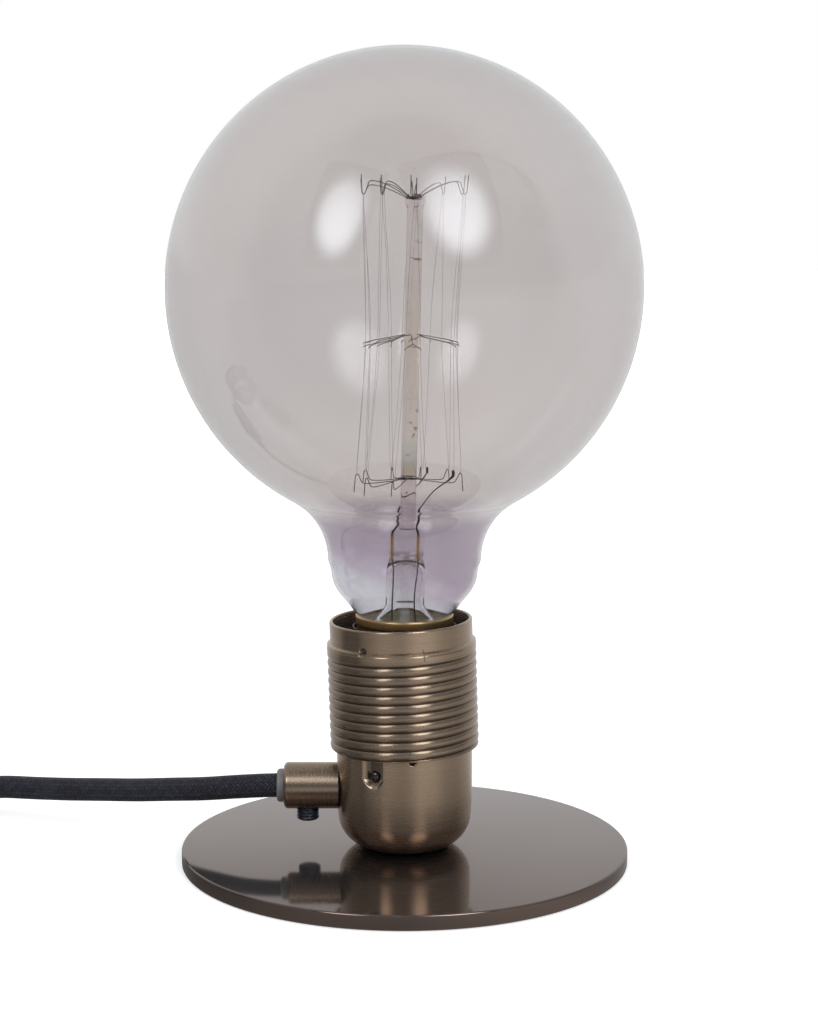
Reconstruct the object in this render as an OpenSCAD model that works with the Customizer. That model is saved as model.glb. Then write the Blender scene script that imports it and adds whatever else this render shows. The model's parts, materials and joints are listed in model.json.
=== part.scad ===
// Bare bulb table lamp: a round metal base, a metal lampholder whose shell is threaded outside,
// a large clear globe bulb with a cage filament, and a braided cord with an in-line switch and a plug.
// Millimetres. +Z is up, and the origin is on the standing surface under the middle of the base.
// The cord leaves along -X.

/* [Base] */
// Diameter of the base disc
base_d = 121; // [100:1:160]
// Thickness of the base disc
base_h = 4; // [3.5:0.1:6]
// Width of the bevel on the disc's edges
base_bevel = 0.6; // [0.2:0.1:1]
// Thickness of the pad under the disc
pad_h = 1; // [0.8:0.1:1.2]
// How far the pad stands proud of the disc
pad_proud = 0.2; // [0.1:0.05:0.4]

/* [Lampholder] */
// Outer diameter of the cup
cup_d = 36.6; // [36:0.1:36.8]
// Wall of the cup
cup_wall = 1; // [0.8:0.1:1.2]
// Radius of the cup's lower corner
cup_corner = 9; // [6:0.5:9]
// Outer diameter of the shell's thread
shell_thread_d = 40.2; // [39.8:0.1:41]
// Pitch of the shell's thread
shell_pitch = 2.5; // [2.5:0.25:3]
// Depth of the shell's thread
shell_thread_depth = 0.65; // [0.4:0.05:0.95]
// Outer diameter of the collar above the thread
collar_d = 38.4; // [38.2:0.1:39]
// Height of the shell, from its lower edge to its rim
shell_h = 34.8; // [34.8:0.1:35.4]
// Height of the shell's rim above the disc
rim_above_disc = 62.4; // [62.4:0.1:62.8]
// Pitch of the lamp thread, seven turns to the inch
lamp_pitch = 3.629; // [3.5:0.001:3.7]
// Mean radius of the cap's thread
cap_thread_r = 12.65; // [12.6:0.01:12.7]
// Half the depth of the lamp thread
lamp_thread_amp = 0.45; // [0.3:0.05:0.45]
// Gap between the cap's thread and the sleeve's
lamp_thread_gap = 0.25; // [0.15:0.05:0.3]

/* [Cord outlet] */
// Height of the outlet's axis above the disc
outlet_above_disc = 16.2; // [15:0.1:18]
// Outer diameter of the outlet tube
outlet_d = 12.6; // [11.5:0.1:13]
// How far the outlet tube reaches from the lamp's axis
outlet_reach = 32.7; // [30:0.1:33]
// Diameter of the cord
cord_d = 6.5; // [6:0.1:6.5]

/* [Bulb] */
// Diameter of the globe
globe_d = 125.4; // [115:0.1:126]
// Height of the globe over its width
globe_stretch = 1.006; // [1:0.001:1.02]
// Height of the globe's middle above the disc
globe_above_disc = 150.2; // [149:0.1:155]
// Wall of the glass
glass_wall = 0.8; // [0.6:0.1:1]
// Radius of the neck where it leaves the globe
neck_r = 20.5; // [20:0.1:21]
// Radius of the curve between the globe and the neck
neck_fillet = 18.4; // [16:0.1:19]
// Number of hooks on the upper anchor
hooks = 9; // [6:1:12]
// Radius of the filament's cage at its ends
cage_r = 13.8; // [12:0.1:15]
// Diameter of the filament
filament_d = 0.2; // [0.15:0.01:0.3]
// Lean of the cage, in degrees
lean = 1.5; // [0:0.1:1.5]

/* [Coiled cord] */
// Turns in the coil, a half more than a whole number
coil_turns = 6.5; // [5.5:1:6.5]
// Radius of the coil's widest turn
coil_r = 43.4; // [42:0.1:45]
// Step outwards from one turn to the next
coil_step = 7.4; // [7.3:0.05:7.5]
// Step up from one layer to the next
coil_rise = 7.1; // [7:0.05:7.4]

/* [Switch and plug] */
// Length of the switch's housing
switch_l = 60; // [56:1:64]
// Width of the switch's housing
switch_w = 27; // [24:1:30]
// Height of the switch's housing
switch_h = 19; // [18:0.5:21]
// Angle the rocker turns through
rocker_travel = 16; // [12:1:18]
// Diameter of the plug's body
plug_d = 37.5; // [36:0.5:39]
// Length of the plug's body
plug_l = 36; // [34:1:38]

/* [Hidden] */
$fn = 96;

eps = 0.03;                                   // running gap where two curved faces meet
disc_z = pad_proud + base_h;                  // top of the disc
cup_r = cup_d / 2;
cup_top = disc_z + 34.3;                      // the cup's rim, inside the shell
rim_z = disc_z + rim_above_disc;
shell_z = rim_z - shell_h;                    // lower edge of the shell
shell_r = shell_thread_d / 2;
collar_h = 5.7;
thread_top = rim_z - collar_h - 2.3;          // the thread runs out into a plain band here
ledge_z = cup_top + 2.6;                      // the shell's ledge holds the insert on the cup's rim
socket_floor = disc_z + 39.8;
outlet_z = disc_z + outlet_above_disc;
grip_x = -26.3;                               // the screw that grips the cord
globe_z = disc_z + globe_above_disc;
globe_r = globe_d / 2;
cap_top = rim_z + 2.4;                        // upper edge of the bulb's cap
tip_z = cap_top - 26;                         // lowest point of the bulb
pinch_z = cap_top + 22.4;                     // top of the glass pinch
steel = [0.62, 0.6, 0.57];
bronze = [0.42, 0.37, 0.32];
brass = [0.72, 0.6, 0.36];
nickel = [0.7, 0.69, 0.66];
glass = [0.8, 0.78, 0.78, 0.35];
black = [0.1, 0.1, 0.11];

// ---- helpers ----

function unit(v) = v / norm(v);
function mix(a, b, t) = a + (b - a) * t;
function clamp(x, lo, hi) = min(max(x, lo), hi);
function ease(t) = let (c = clamp(t, 0, 1)) c * c * (3 - 2 * c);
// Direction of a path at its point i
function heading(p, i) = unit(p[min(i + 1, len(p) - 1)] - p[max(i - 1, 0)]);
// Points of an arc round c, from angle a to angle b
function arc(c, r, a, b, n) = [for (i = [0:n]) let (t = mix(a, b, i / n)) c + r * [cos(t), sin(t)]];
// Point at radius r, angle a and height z
function polar(r, a, z) = [r * cos(a), r * sin(a), z];
// Smooth curve through the points p, with n steps between neighbours
function smooth(p, n) = [
    for (i = [0:len(p) - 2], k = [0:n - 1])
        let (a = p[max(i - 1, 0)], b = p[i], c = p[i + 1], d = p[min(i + 2, len(p) - 1)], t = k / n)
            0.5 * (2 * b + (c - a) * t + (2 * a - 5 * b + 4 * c - d) * t * t
                + (3 * b - a - 3 * c + d) * t * t * t),
    p[len(p) - 1]
];

upright = function (q) [0, 0, 1];
outward = function (q) [q[0], q[1], 0];

// Round bar swept along the points p. up(q) is a direction at the point q that isn't along the bar.
module bar(p, r, sides, up = upright) {
    n = len(p);
    points = [
        for (i = [0:n - 1])
            let (t = heading(p, i), s = unit(cross(up(p[i]), t)), v = cross(t, s))
                for (k = [0:sides - 1])
                    p[i] + r * (cos(360 * k / sides) * s + sin(360 * k / sides) * v)
    ];
    walls = [
        for (i = [0:n - 2], k = [0:sides - 1])
            let (a = i * sides + k, b = i * sides + (k + 1) % sides)
                each [[a, a + sides, b], [b, a + sides, b + sides]]
    ];
    ends = [[for (k = [0:sides - 1]) k], [for (k = [sides - 1:-1:0]) (n - 1) * sides + k]];
    polyhedron(points, concat(walls, ends));
}

// Thin strip of thickness t along the flat points p, as an outline
function strip(p, t) = concat(
    [for (i = [0:len(p) - 1]) let (h = heading(p, i)) p[i] + t / 2 * [-h[1], h[0]]],
    [for (i = [len(p) - 1:-1:0]) let (h = heading(p, i)) p[i] - t / 2 * [-h[1], h[0]]]
);

// Tube round Z with a thread. The threaded wall is radius(a, z) from z0 to z1, on rows that climb
// with the helix at the stated parts of a turn, the first of them 0 or less. The rings [r, z] of rest
// close the tube, from the thread's top round to its bottom.
module threaded_tube(radius, z0, z1, pitch, parts, cols, rest, inside = false) {
    rows = len(parts);
    last = ceil(rows * ((z1 - z0) / pitch + 1)) + 1;
    height = function (i, j) z0 + pitch * (floor(j / rows) + parts[j % rows] - 1 + i / cols);
    id = function (i, j)
        i == cols ? id(0, min(j + rows, last))
        : i * (last + 1) + (height(i, j) <= z0 ? 0 : height(i, j) >= z1 ? last : j);
    wall = [
        for (i = [0:cols - 1], j = [0:last])
            let (z = clamp(height(i, j), z0, z1), a = 360 * i / cols) polar(radius(a, z), a, z)
    ];
    rings = [for (q = rest, i = [0:cols - 1]) polar(q[0], 360 * i / cols, q[1])];
    first = cols * (last + 1);
    ring = function (q, i)
        q < 0 ? (i % cols) * (last + 1) + last
        : q == len(rest) ? (i % cols) * (last + 1)
        : first + q * cols + i % cols;
    faces = [
        for (i = [0:cols - 1], j = [0:last - 1])
            let (a = id(i, j), b = id(i + 1, j), c = id(i + 1, j + 1), d = id(i, j + 1))
                each [[a, c, b], [a, d, c]],
        for (q = [-1:len(rest) - 1], i = [0:cols - 1])
            let (a = ring(q, i), b = ring(q, i + 1), c = ring(q + 1, i + 1), d = ring(q + 1, i))
                each [[a, c, b], [a, d, c]]
    ];
    whole = [for (f = faces) if (f[0] != f[1] && f[1] != f[2] && f[2] != f[0]) f];
    polyhedron(concat(wall, rings), inside ? [for (f = whole) [f[0], f[2], f[1]]] : whole);
}

// Ring of outer radius r and inner radius hole, from z0 to z1
module ring(r, hole, z0, z1) {
    translate([0, 0, z0]) difference() {
        cylinder(r = r, h = z1 - z0);
        translate([0, 0, -1]) cylinder(r = hole, h = z1 - z0 + 2);
    }
}

module hex_nut(across, hole, z0, z1) {
    translate([0, 0, z0]) difference() {
        cylinder(d = across / cos(30), h = z1 - z0, $fn = 6);
        translate([0, 0, -1]) cylinder(r = hole, h = z1 - z0 + 2);
    }
}

// ---- base ----

screw_r = 2.5;
pad_r = base_d / 2 - 4.5;
screw_head_r = 4.7;

module base_disc() {
    r = base_d / 2;
    color(steel) difference() {
        rotate_extrude() polygon([
            [0, pad_h], [pad_r + 0.5, pad_h], [pad_r + 0.5, pad_proud],
            [r - base_bevel / 2, pad_proud], [r, pad_proud + base_bevel / 2],
            [r, disc_z - base_bevel], [r - base_bevel, disc_z], [0, disc_z]
        ]);
        translate([0, 0, -1]) cylinder(r = screw_r + 0.2, h = disc_z + 2);
        translate([0, 0, pad_h - eps]) cylinder(r1 = screw_head_r + 0.2 + eps, r2 = screw_r + 0.2, h = 2.4);
    }
}

module base_pad() {
    color(black) cylinder(r = pad_r, h = pad_h);
}

module base_screw() {
    color(nickel) difference() {
        union() {
            translate([0, 0, pad_h + 0.1]) cylinder(r1 = screw_head_r, r2 = screw_r, h = 2.2);
            translate([0, 0, pad_h + 2]) cylinder(r = screw_r, h = 10.6);
        }
        translate([0, 0, pad_h]) cylinder(d = 3.46, h = 1.8, $fn = 6);
    }
}

module base_washer() {
    z = disc_z + cup_wall;
    color(nickel) difference() {
        ring(5.4, screw_r + 0.15, z, z + 1);
        for (a = [0:45:315]) rotate([0, 0, a]) translate([5.4, 0, z - 1]) cylinder(r = 0.6, h = 3);
    }
}

module earth_ring_terminal() {
    z = disc_z + cup_wall + 1;
    color(nickel) {
        ring(4.6, screw_r + 0.15, z, z + 0.8);
        difference() {
            translate([4.2, -1.6, z]) cube([3, 3.2, 0.8]);
            translate([0, 0, z - 1]) cylinder(r = 4.4, h = 3);
        }
        translate([7, 0, z + 1.5]) rotate([0, 90, 0]) difference() {
            cylinder(r = 1.6, h = 5);
            translate([0, 0, -1]) cylinder(r = 1.15, h = 7);
        }
    }
}

module base_nut() {
    z = disc_z + cup_wall + 1.8;
    color(nickel) hex_nut(8, screw_r + 0.05, z, z + 4);
}

// ---- lampholder ----

lock_a = -118;                                // where the lock screw's pocket is, round the cup
lock_z = disc_z + 22.6;                       // the screw's axis
pocket_w = 5.6;
pocket_depth = 1.9;
pocket_top = shell_z + 1.5;
lock_screw_r = 1.9;

// Half outline of a cup whose outside is r wide and whose floor is at z
function cup_outline(r, z, corner, top) =
    concat([[0, z]], arc([r - corner, z + corner], corner, -90, 0, 12), [[r, top], [0, top]]);

// Upright slot with a low round foot, cut in from outside to a flat floor at radius floor_r
module pocket(w, floor_r, top) {
    foot = [for (t = [180:15:360]) [w / 2 * cos(t), lock_z - 0.6 + 0.37 * w * sin(t)]];
    rotate([0, 0, lock_a]) translate([floor_r, 0, 0]) rotate([90, 0, 90]) linear_extrude(8)
        polygon(concat([[w / 2, top], [-w / 2, top]], foot));
}

module lampholder_cup() {
    inner_r = cup_r - cup_wall;
    color(bronze) difference() {
        union() {
            difference() {
                rotate_extrude() polygon(cup_outline(cup_r, disc_z, cup_corner, cup_top));
                rotate_extrude() polygon(
                    cup_outline(inner_r, disc_z + cup_wall, cup_corner - cup_wall, cup_top + 1));
            }
            intersection() {
                pocket(pocket_w + 1.6, cup_r - pocket_depth - 0.8, pocket_top + 0.8);
                cylinder(r = cup_r - cup_wall / 2, h = cup_top);
            }
        }
        pocket(pocket_w, cup_r - pocket_depth, pocket_top);
        rotate([0, 0, lock_a]) translate([0, 0, lock_z]) rotate([0, 90, 0]) cylinder(r = 1.05, h = 30);
        rotate([0, 0, -83]) translate([cup_r + 0.5, 0, shell_z - 0.2]) sphere(r = 1.1);
        translate([0, 0, outlet_z]) rotate([0, -90, 0]) cylinder(r = outlet_thread_r + 0.1, h = 30);
        translate([0, 0, disc_z - 1]) cylinder(r = screw_r + 0.2, h = 4);
    }
}

groove_start = 1.4;                           // from the plain band down to the first groove, at the front

// Depth of the groove of the shell's thread, a right-hand helix that runs out under the collar.
// The ridges are wide and round, and the grooves between them narrow.
function shell_groove(a, z) =
    let (turn = (z - thread_top + groove_start) / shell_pitch - (a + 90) / 360,
        off = abs(turn - round(turn)),
        fade = ease((thread_top - z) / 1.2))
    shell_thread_depth * fade * (1 - pow(sin(180 * off), 0.6));
// Parts of a turn where the thread's rows run, a quarter turn apart: one is the groove's lowest line
shell_rows = [
    for (k = [-1:2]) (1.25 + (thread_top - groove_start - shell_z) / shell_pitch) % 0.25 + k / 4
];

module lampholder_shell() {
    collar_r = collar_d / 2;
    spigot_r = cup_r + 0.12;
    bore_r = collar_r - 0.9;
    band_z = rim_z - collar_h;
    color(bronze) threaded_tube(
        function (a, z) shell_r - shell_groove(a, z),
        shell_z, thread_top, shell_pitch, shell_rows, 48,
        [
            [shell_r, band_z - 0.3], [collar_r + 0.15, band_z], [collar_r, band_z + 0.3],
            [collar_r, rim_z - 0.4], [collar_r - 0.3, rim_z], [bore_r + 0.2, rim_z],
            [bore_r, rim_z - 0.3], [bore_r, ledge_z + 3], [bore_r - 1, ledge_z + 2.2],
            [bore_r - 1, ledge_z], [spigot_r, ledge_z], [spigot_r, shell_z]
        ]
    );
}

module shell_lock_screw() {
    color(black) rotate([0, 0, lock_a]) translate([cup_r - pocket_depth, 0, lock_z]) rotate([0, 90, 0])
        difference() {
            union() {
                cylinder(r = lock_screw_r, h = 1.2);
                translate([0, 0, -1.8]) cylinder(r = 1, h = 1.9);
            }
            translate([-3, -0.3, 0.7]) cube([6, 0.6, 1]);
        }
}

insert_r = 15.5;
terminal_y = 9;
terminal_z = disc_z + 23.3;                   // underside of the terminal blocks
terminal_h = 8;
recess_z = socket_floor - 4;
live_rivet_y = 6;
neutral_rivet_y = -11;

module ceramic_insert() {
    top = socket_floor + 6;
    block_top = terminal_z + terminal_h;
    color("ivory") difference() {
        union() {
            translate([0, 0, terminal_z - 0.5]) cylinder(r = insert_r, h = cup_top - terminal_z + 1);
            translate([0, 0, cup_top]) cylinder(r = cup_r - 0.1, h = ledge_z - cup_top);
            translate([0, 0, cup_top]) cylinder(r = 16.3, h = top - cup_top);
        }
        translate([0, 0, socket_floor]) cylinder(r = sleeve_r + 0.3, h = 20);
        translate([0, 0, recess_z]) cylinder(r = 7.6, h = 20);
        for (s = [-1, 1]) translate([0, s * terminal_y, 0]) {
            translate([-3.8, -3.3, terminal_z - 1]) cube([24, 6.6, terminal_h + 1]);
        }
        rotate([0, 0, lock_a]) translate([14.2, -1.6, terminal_z - 1]) cube([4, 3.2, 3]);
        translate([0, live_rivet_y, 0]) cylinder(r = 1.3, h = recess_z + 1);
        translate([0, neutral_rivet_y, 0]) cylinder(r = 1.3, h = socket_floor + 1);
    }
}

sleeve_r = 14;
sleeve_top = socket_floor + 20.6;

// How far the lamp thread's wall stands out at angle a and height z. The thread fades out over
// 1.5 mm at z0 and z1, and leaves the wall at the height end there.
function lamp_thread(a, z, z0, z1, end) =
    let (fade = ease((z - z0) / 1.5) * ease((z1 - z) / 1.5))
    lamp_thread_amp * mix(end, cos(360 * ((z - tip_z) / lamp_pitch - a / 360)), fade);

module screw_sleeve() {
    r = cap_thread_r + lamp_thread_gap;
    z0 = socket_floor + 1.2;
    z1 = sleeve_top - 1.4;
    color(brass) threaded_tube(
        function (a, z) r + lamp_thread(a, z, z0, z1, 1),
        z0, z1, lamp_pitch, [0, 0.17, 0.34, 0.5, 0.67, 0.84], 36,
        [
            [13.55, sleeve_top - 0.8], [13.7, sleeve_top], [sleeve_r, sleeve_top],
            [sleeve_r, socket_floor], [8.6, socket_floor], [8.6, socket_floor + 0.5],
            [r + lamp_thread_amp, socket_floor + 0.5]
        ],
        inside = true
    );
}

module centre_contact() {
    foot = recess_z + 0.32;
    path = smooth([
        [7.2, foot], [5.2, foot], [4, foot + 0.6], [2.6, foot + 2.4], [1.2, tip_z - 0.3],
        [0, tip_z - 0.27], [-1.6, tip_z - 0.6], [-3.6, foot + 1.6]
    ], 3);
    color(brass) translate([-2, 0, 0]) rotate([90, 0, 90]) linear_extrude(4) polygon(strip(path, 0.5));
}

module contact_rivets() {
    foot = terminal_z + terminal_h;
    color(brass) {
        translate([0, live_rivet_y, foot]) cylinder(r = 1.2, h = recess_z - foot);
        translate([0, neutral_rivet_y, foot]) cylinder(r = 1.2, h = socket_floor - foot);
    }
}

module terminal_blocks() {
    color(brass) for (s = [-1, 1]) translate([0, s * terminal_y, terminal_z]) difference() {
        translate([-3.5, -3, 0]) cube([7, 6, terminal_h]);
        translate([0, 0, -1]) cylinder(r = 1.4, h = 6.5);
        translate([0, 0, 4]) rotate([0, 90, 0]) cylinder(r = 1.3, h = 10);
    }
}

module terminal_screws() {
    color(nickel) for (s = [-1, 1]) {
        translate([0, s * terminal_y, terminal_z + 4]) rotate([0, 90, 0]) difference() {
            union() {
                translate([0, 0, 1.2]) cylinder(r = 1.25, h = 3);
                translate([0, 0, 4]) cylinder(r = 2.2, h = 1.6);
            }
            translate([-3, -0.3, 4.9]) cube([6, 0.6, 2]);
        }
    }
}

core_r = 1.1;
core_start_x = -9.5;

module live_wire() {
    color("saddlebrown") bar(smooth([
        [core_start_x, 1.2, outlet_z + 0.7], [-7.5, 2, outlet_z + 0.6], [-3, 5.5, outlet_z + 1.2],
        [-0.4, 8.4, outlet_z + 3.6], [0, terminal_y, terminal_z - 1], [0, terminal_y, terminal_z + 2.2]
    ], 2), core_r, 6, function (q) [1, 0.4, 0.1]);
}

module neutral_wire() {
    color("steelblue") bar(smooth([
        [core_start_x, -1.2, outlet_z + 0.7], [-7.5, -2, outlet_z + 0.6], [-3, -5.5, outlet_z + 1.2],
        [-0.4, -8.4, outlet_z + 3.6], [0, -terminal_y, terminal_z - 1], [0, -terminal_y, terminal_z + 2.2]
    ], 2), core_r, 6, function (q) [1, -0.4, 0.1]);
}

module earth_wire() {
    z = disc_z + cup_wall + 2.5;
    color("yellowgreen") bar(smooth([
        [core_start_x, 0, outlet_z - 1.5], [-6, 0.6, outlet_z - 2.2], [0, 5, outlet_z - 4],
        [7, 8, outlet_z - 6], [13, 5.5, z + 3], [14, 1.4, z + 0.6], [12.2, 0, z], [8.5, 0, z]
    ], 2), core_r, 6, function (q) [0.1, 0.2, 1]);
}

// ---- cord outlet ----

outlet_r = outlet_d / 2;
outlet_thread_r = 5;
bush_r = 4.5;
cord_r = cord_d / 2;
grip_r = 3.1;

// Turns what is drawn along +Z to lie along -X on the outlet's axis
module on_outlet() {
    translate([0, 0, outlet_z]) rotate([0, -90, 0]) children();
}

module cord_outlet_tube() {
    color(bronze) difference() {
        union() {
            difference() {
                on_outlet() rotate_extrude() polygon(concat(
                    [[0, 15], [outlet_r, 15]],
                    arc([outlet_r - 1.2, outlet_reach - 1.2], 1.2, 0, 90, 6),
                    [[0, outlet_reach]]
                ));
                cylinder(r = cup_r + eps, h = 60);
            }
            on_outlet() translate([0, 0, 12.2]) cylinder(r = outlet_thread_r, h = 8);
        }
        on_outlet() cylinder(r = bush_r + eps, h = 60);
        translate([grip_x, 0, 0]) cylinder(r = grip_r + eps, h = outlet_z);
    }
}

module cord_outlet_nut() {
    color(nickel) on_outlet() rotate([0, 0, 30]) hex_nut(13, outlet_thread_r + 0.05, 12.6, 15);
}

module cord_outlet_bush() {
    tip = outlet_reach + 1.9;
    color("gainsboro") difference() {
        on_outlet() rotate_extrude() polygon([
            [cord_r + 0.1, 12.2], [bush_r, 12.2], [bush_r, tip - 0.6],
            [bush_r - 0.6, tip], [cord_r + 0.5, tip], [cord_r + 0.1, tip - 0.6]
        ]);
        translate([grip_x, 0, 0]) cylinder(r = grip_r + eps, h = outlet_z);
    }
}

module cord_grip_screw() {
    top = outlet_z - cord_r - 0.05;
    foot = outlet_z - outlet_r - 3.1;
    color(black) translate([grip_x, 0, 0]) difference() {
        rotate_extrude() polygon([
            [0, foot], [2.4, foot], [grip_r, foot + 0.8], [grip_r, top], [0, top]
        ]);
        translate([-4, -0.45, foot - 1]) cube([8, 0.9, 2.2]);
    }
}

// ---- bulb ----

neck_fillet_z = globe_z - globe_stretch * sqrt(pow(globe_r + neck_fillet, 2) - pow(neck_r + neck_fillet, 2));
neck_foot_r = neck_r - 0.9;
foot_turn = 9.5;                              // radius of the curve from the neck in to the cap
tail_r = 12;                                  // the glass inside the cap

// Outline of the bulb's glass, t inside its outer face, from the top of the globe to its tail
function glass_outline(t) =
    let (a = atan2(globe_z - neck_fillet_z, globe_stretch * (neck_r + neck_fillet)),
        globe = arc([0, 0], globe_r - t, 90, -a, 44),
        bend = arc([neck_r + neck_fillet, neck_fillet_z], neck_fillet + t, 180 - a, 180, 9))
    concat(
        [for (s = globe) [max(s[0], 0), globe_z + globe_stretch * s[1]]],
        [for (s = bend) if (s[1] < globe_z) s],
        arc([neck_foot_r - foot_turn, cap_top + 9.8], foot_turn - t, 0, -72, 10),
        [[tail_r - t, cap_top + 0.4], [tail_r - t, cap_top - 4.4]]
    );

module bulb_glass() {
    outer = glass_outline(0);
    inner = glass_outline(glass_wall);
    color(glass) rotate_extrude() polygon(concat(outer, [for (i = [len(inner) - 1:-1:0]) inner[i]]));
}

module bulb_screw_cap() {
    z0 = tip_z + 6.3;
    z1 = cap_top - 4.4;
    color(brass) threaded_tube(
        function (a, z) cap_thread_r + lamp_thread(a, z, z0 - 1.5, z1, 0),
        z0, z1, lamp_pitch, [0, 0.17, 0.34, 0.5, 0.67, 0.84], 36,
        [
            [cap_thread_r, z1 + 0.5], [13.15, z1 + 1], [13.15, cap_top], [12.6, cap_top],
            [12.6, z1 - 0.2], [11.6, z1 - 0.8], [11.6, z0 + 0.4], [9.8, z0 - 1.3], [10.2, z0 - 1.7]
        ]
    );
}

module cap_cement() {
    color("tan") ring(12.55, tail_r + 0.05, cap_top - 4, cap_top);
}

module cap_insulator() {
    color(black) rotate_extrude() polygon([
        [1.2, tip_z + 7.6], [11.4, tip_z + 7.6], [11.4, tip_z + 6.75], [9.6, tip_z + 5.05], [10, tip_z + 4.2],
        [6.4, tip_z + 1.7], [5.3, tip_z + 1.7], [5.3, tip_z + 2.4], [1.2, tip_z + 2.4]
    ]);
}

module bulb_contact() {
    color(nickel) rotate_extrude() polygon([
        [0, tip_z], [1.8, tip_z + 0.05], [3.6, tip_z + 0.5], [4.8, tip_z + 1.4], [5.2, tip_z + 1.9],
        [5.2, tip_z + 2.37], [0, tip_z + 2.37]
    ]);
}

pinch_w = 9.2;
pinch_t = 3.6;
pinch_h = 9;
flare_r = 5.2;
rod_r = 2.1;
rod_top = globe_z + 25;
rod_seat = 2.6;                               // depth of the rod's seat in the pinch
rod_gap = 0.08;                               // room for the rod to lean in it

// Wall of the flare, from radius r at its foot to radius top_r
function flare(r, top_r, foot) = [
    for (t = [0:0.1:1]) [mix(r, top_r, ease(t) * 0.55 + t * 0.45), foot + 8 * t]
];

module glass_stem() {
    foot = cap_top - 4.4;
    wall = 0.9;
    pinch_foot = pinch_z - pinch_h;
    foot_r = tail_r - glass_wall - 0.05;
    inner = flare(tail_r - glass_wall - 1.6, flare_r - wall, foot);
    color(glass) difference() {
        union() {
            rotate_extrude() polygon(concat(
                [[foot_r, foot]],
                flare(foot_r, flare_r, foot),
                [[flare_r - 0.5, pinch_foot], [flare_r - 2, pinch_foot + 2], [0, pinch_foot + 2],
                [0, pinch_foot], [flare_r - wall - 0.3, pinch_foot - 2]],
                [for (i = [len(inner) - 1:-1:0]) inner[i]]
            ));
            translate([0, 0, pinch_foot]) linear_extrude(pinch_h) {
                square([pinch_w - pinch_t, pinch_t], center = true);
                for (s = [-1, 1]) translate([s * (pinch_w - pinch_t) / 2, 0]) circle(d = pinch_t);
            }
        }
        for (s = [-1, 1]) translate([s * lead_x, 0, foot - 1]) {
            cylinder(r = lead_r + eps, h = pinch_z - foot + 3);
        }
        translate([0, 0, pinch_z - rod_seat]) cylinder(r = rod_r + rod_gap, h = 4);
        translate([0, 0, foot - 1]) cylinder(r = exhaust_r + eps, h = pinch_foot - foot + 2);
    }
}

exhaust_r = 1.6;
lead_x = 3.3;
lead_r = 0.35;

module exhaust_tube() {
    color(glass) ring(exhaust_r, exhaust_r - 0.6, cap_top - 7, pinch_z - pinch_h + 0.9);
}

lean_z = pinch_z - 1.2;

// Leans the rod and what it carries towards +X, round a point in the pinch
module leaned() {
    translate([0, 0, lean_z]) rotate([0, lean, 0]) translate([0, 0, -lean_z]) children();
}

function leaned_point(p) =
    let (z = p[2] - lean_z)
    [p[0] * cos(lean) + z * sin(lean), p[1], lean_z + z * cos(lean) - p[0] * sin(lean)];

module support_rod() {
    foot = pinch_z - rod_seat + 0.15;
    head_r = rod_r + 0.7;
    color(glass) leaned() rotate_extrude() polygon([
        [0, foot], [rod_r, foot], [rod_r, rod_top - 3.4], [head_r, rod_top - 2.4],
        [head_r, rod_top - 0.9], [rod_r - 0.3, rod_top], [0, rod_top]
    ]);
}

anchor_r = 0.22;
filament_r = filament_d / 2;
upper_z = globe_z + 27.2;                     // where the filament turns over the upper hooks
middle_z = globe_z - 13.8;
lower_z = globe_z - 49.6;                     // where it turns under the lower hooks
middle_cage_r = cage_r - 1.6;
hook_h = 2.2;                                 // how far a hook's end reaches past the filament
lead_a = [-33, 290];                          // the filament starts and ends at these angles
strand_step = (lead_a[1] - lead_a[0]) / (2 * hooks);
function strand_a(j) = lead_a[0] + j * strand_step;

// Wire hook that leaves the rod at height z, reaches the cage at height tip, and turns over or
// under the filament there: side is 1 for a hook that holds it up, and -1 for one that holds it down
module hook(a, z, tip, side, foot_r) {
    saddle = tip - side * 0.62;
    bar([
        polar(foot_r + eps, a, z), polar(foot_r + 2, a, mix(z, tip, 0.2)),
        polar(cage_r - 3, a, saddle + side * 0.5), polar(cage_r - 0.8, a, saddle),
        polar(cage_r - 0.1, a, saddle), polar(cage_r + 0.55, a, tip - side * 0.15),
        polar(cage_r + 0.6, a, tip + side * hook_h)
    ], anchor_r, 5, function (q) polar(1, a + 90, 0));
}

module upper_anchors() {
    color(steel) leaned() for (k = [0:hooks - 1]) {
        hook(strand_a(2 * k + 1), rod_top - 1.6, upper_z, 1, rod_r + 0.7);
    }
}

module lower_anchors() {
    color(steel) leaned() for (k = [1:hooks - 1]) {
        hook(strand_a(2 * k), lower_z + 1.2, lower_z, -1, rod_r);
    }
}

// Each middle anchor ends in a fork that holds the two strands of one upper hook
module middle_anchors() {
    r = middle_cage_r - filament_r - anchor_r - 0.05;
    split = r - 2.8;
    color(steel) leaned() for (k = [0:hooks - 1]) {
        a = strand_a(2 * k + 1);
        across = function (q) polar(1, a + 90, 0);
        bar([
            polar(rod_r + eps, a, middle_z + 2.1), polar(split - 1, a, middle_z + 0.7),
            polar(split, a, middle_z + 0.5)
        ], anchor_r, 5, across);
        for (side = [-1, 1]) bar([
            polar(split - 0.2, a, middle_z + 0.53), polar(r, a + side * strand_step / 2, middle_z - 0.3)
        ], anchor_r, 5);
    }
}

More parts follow.
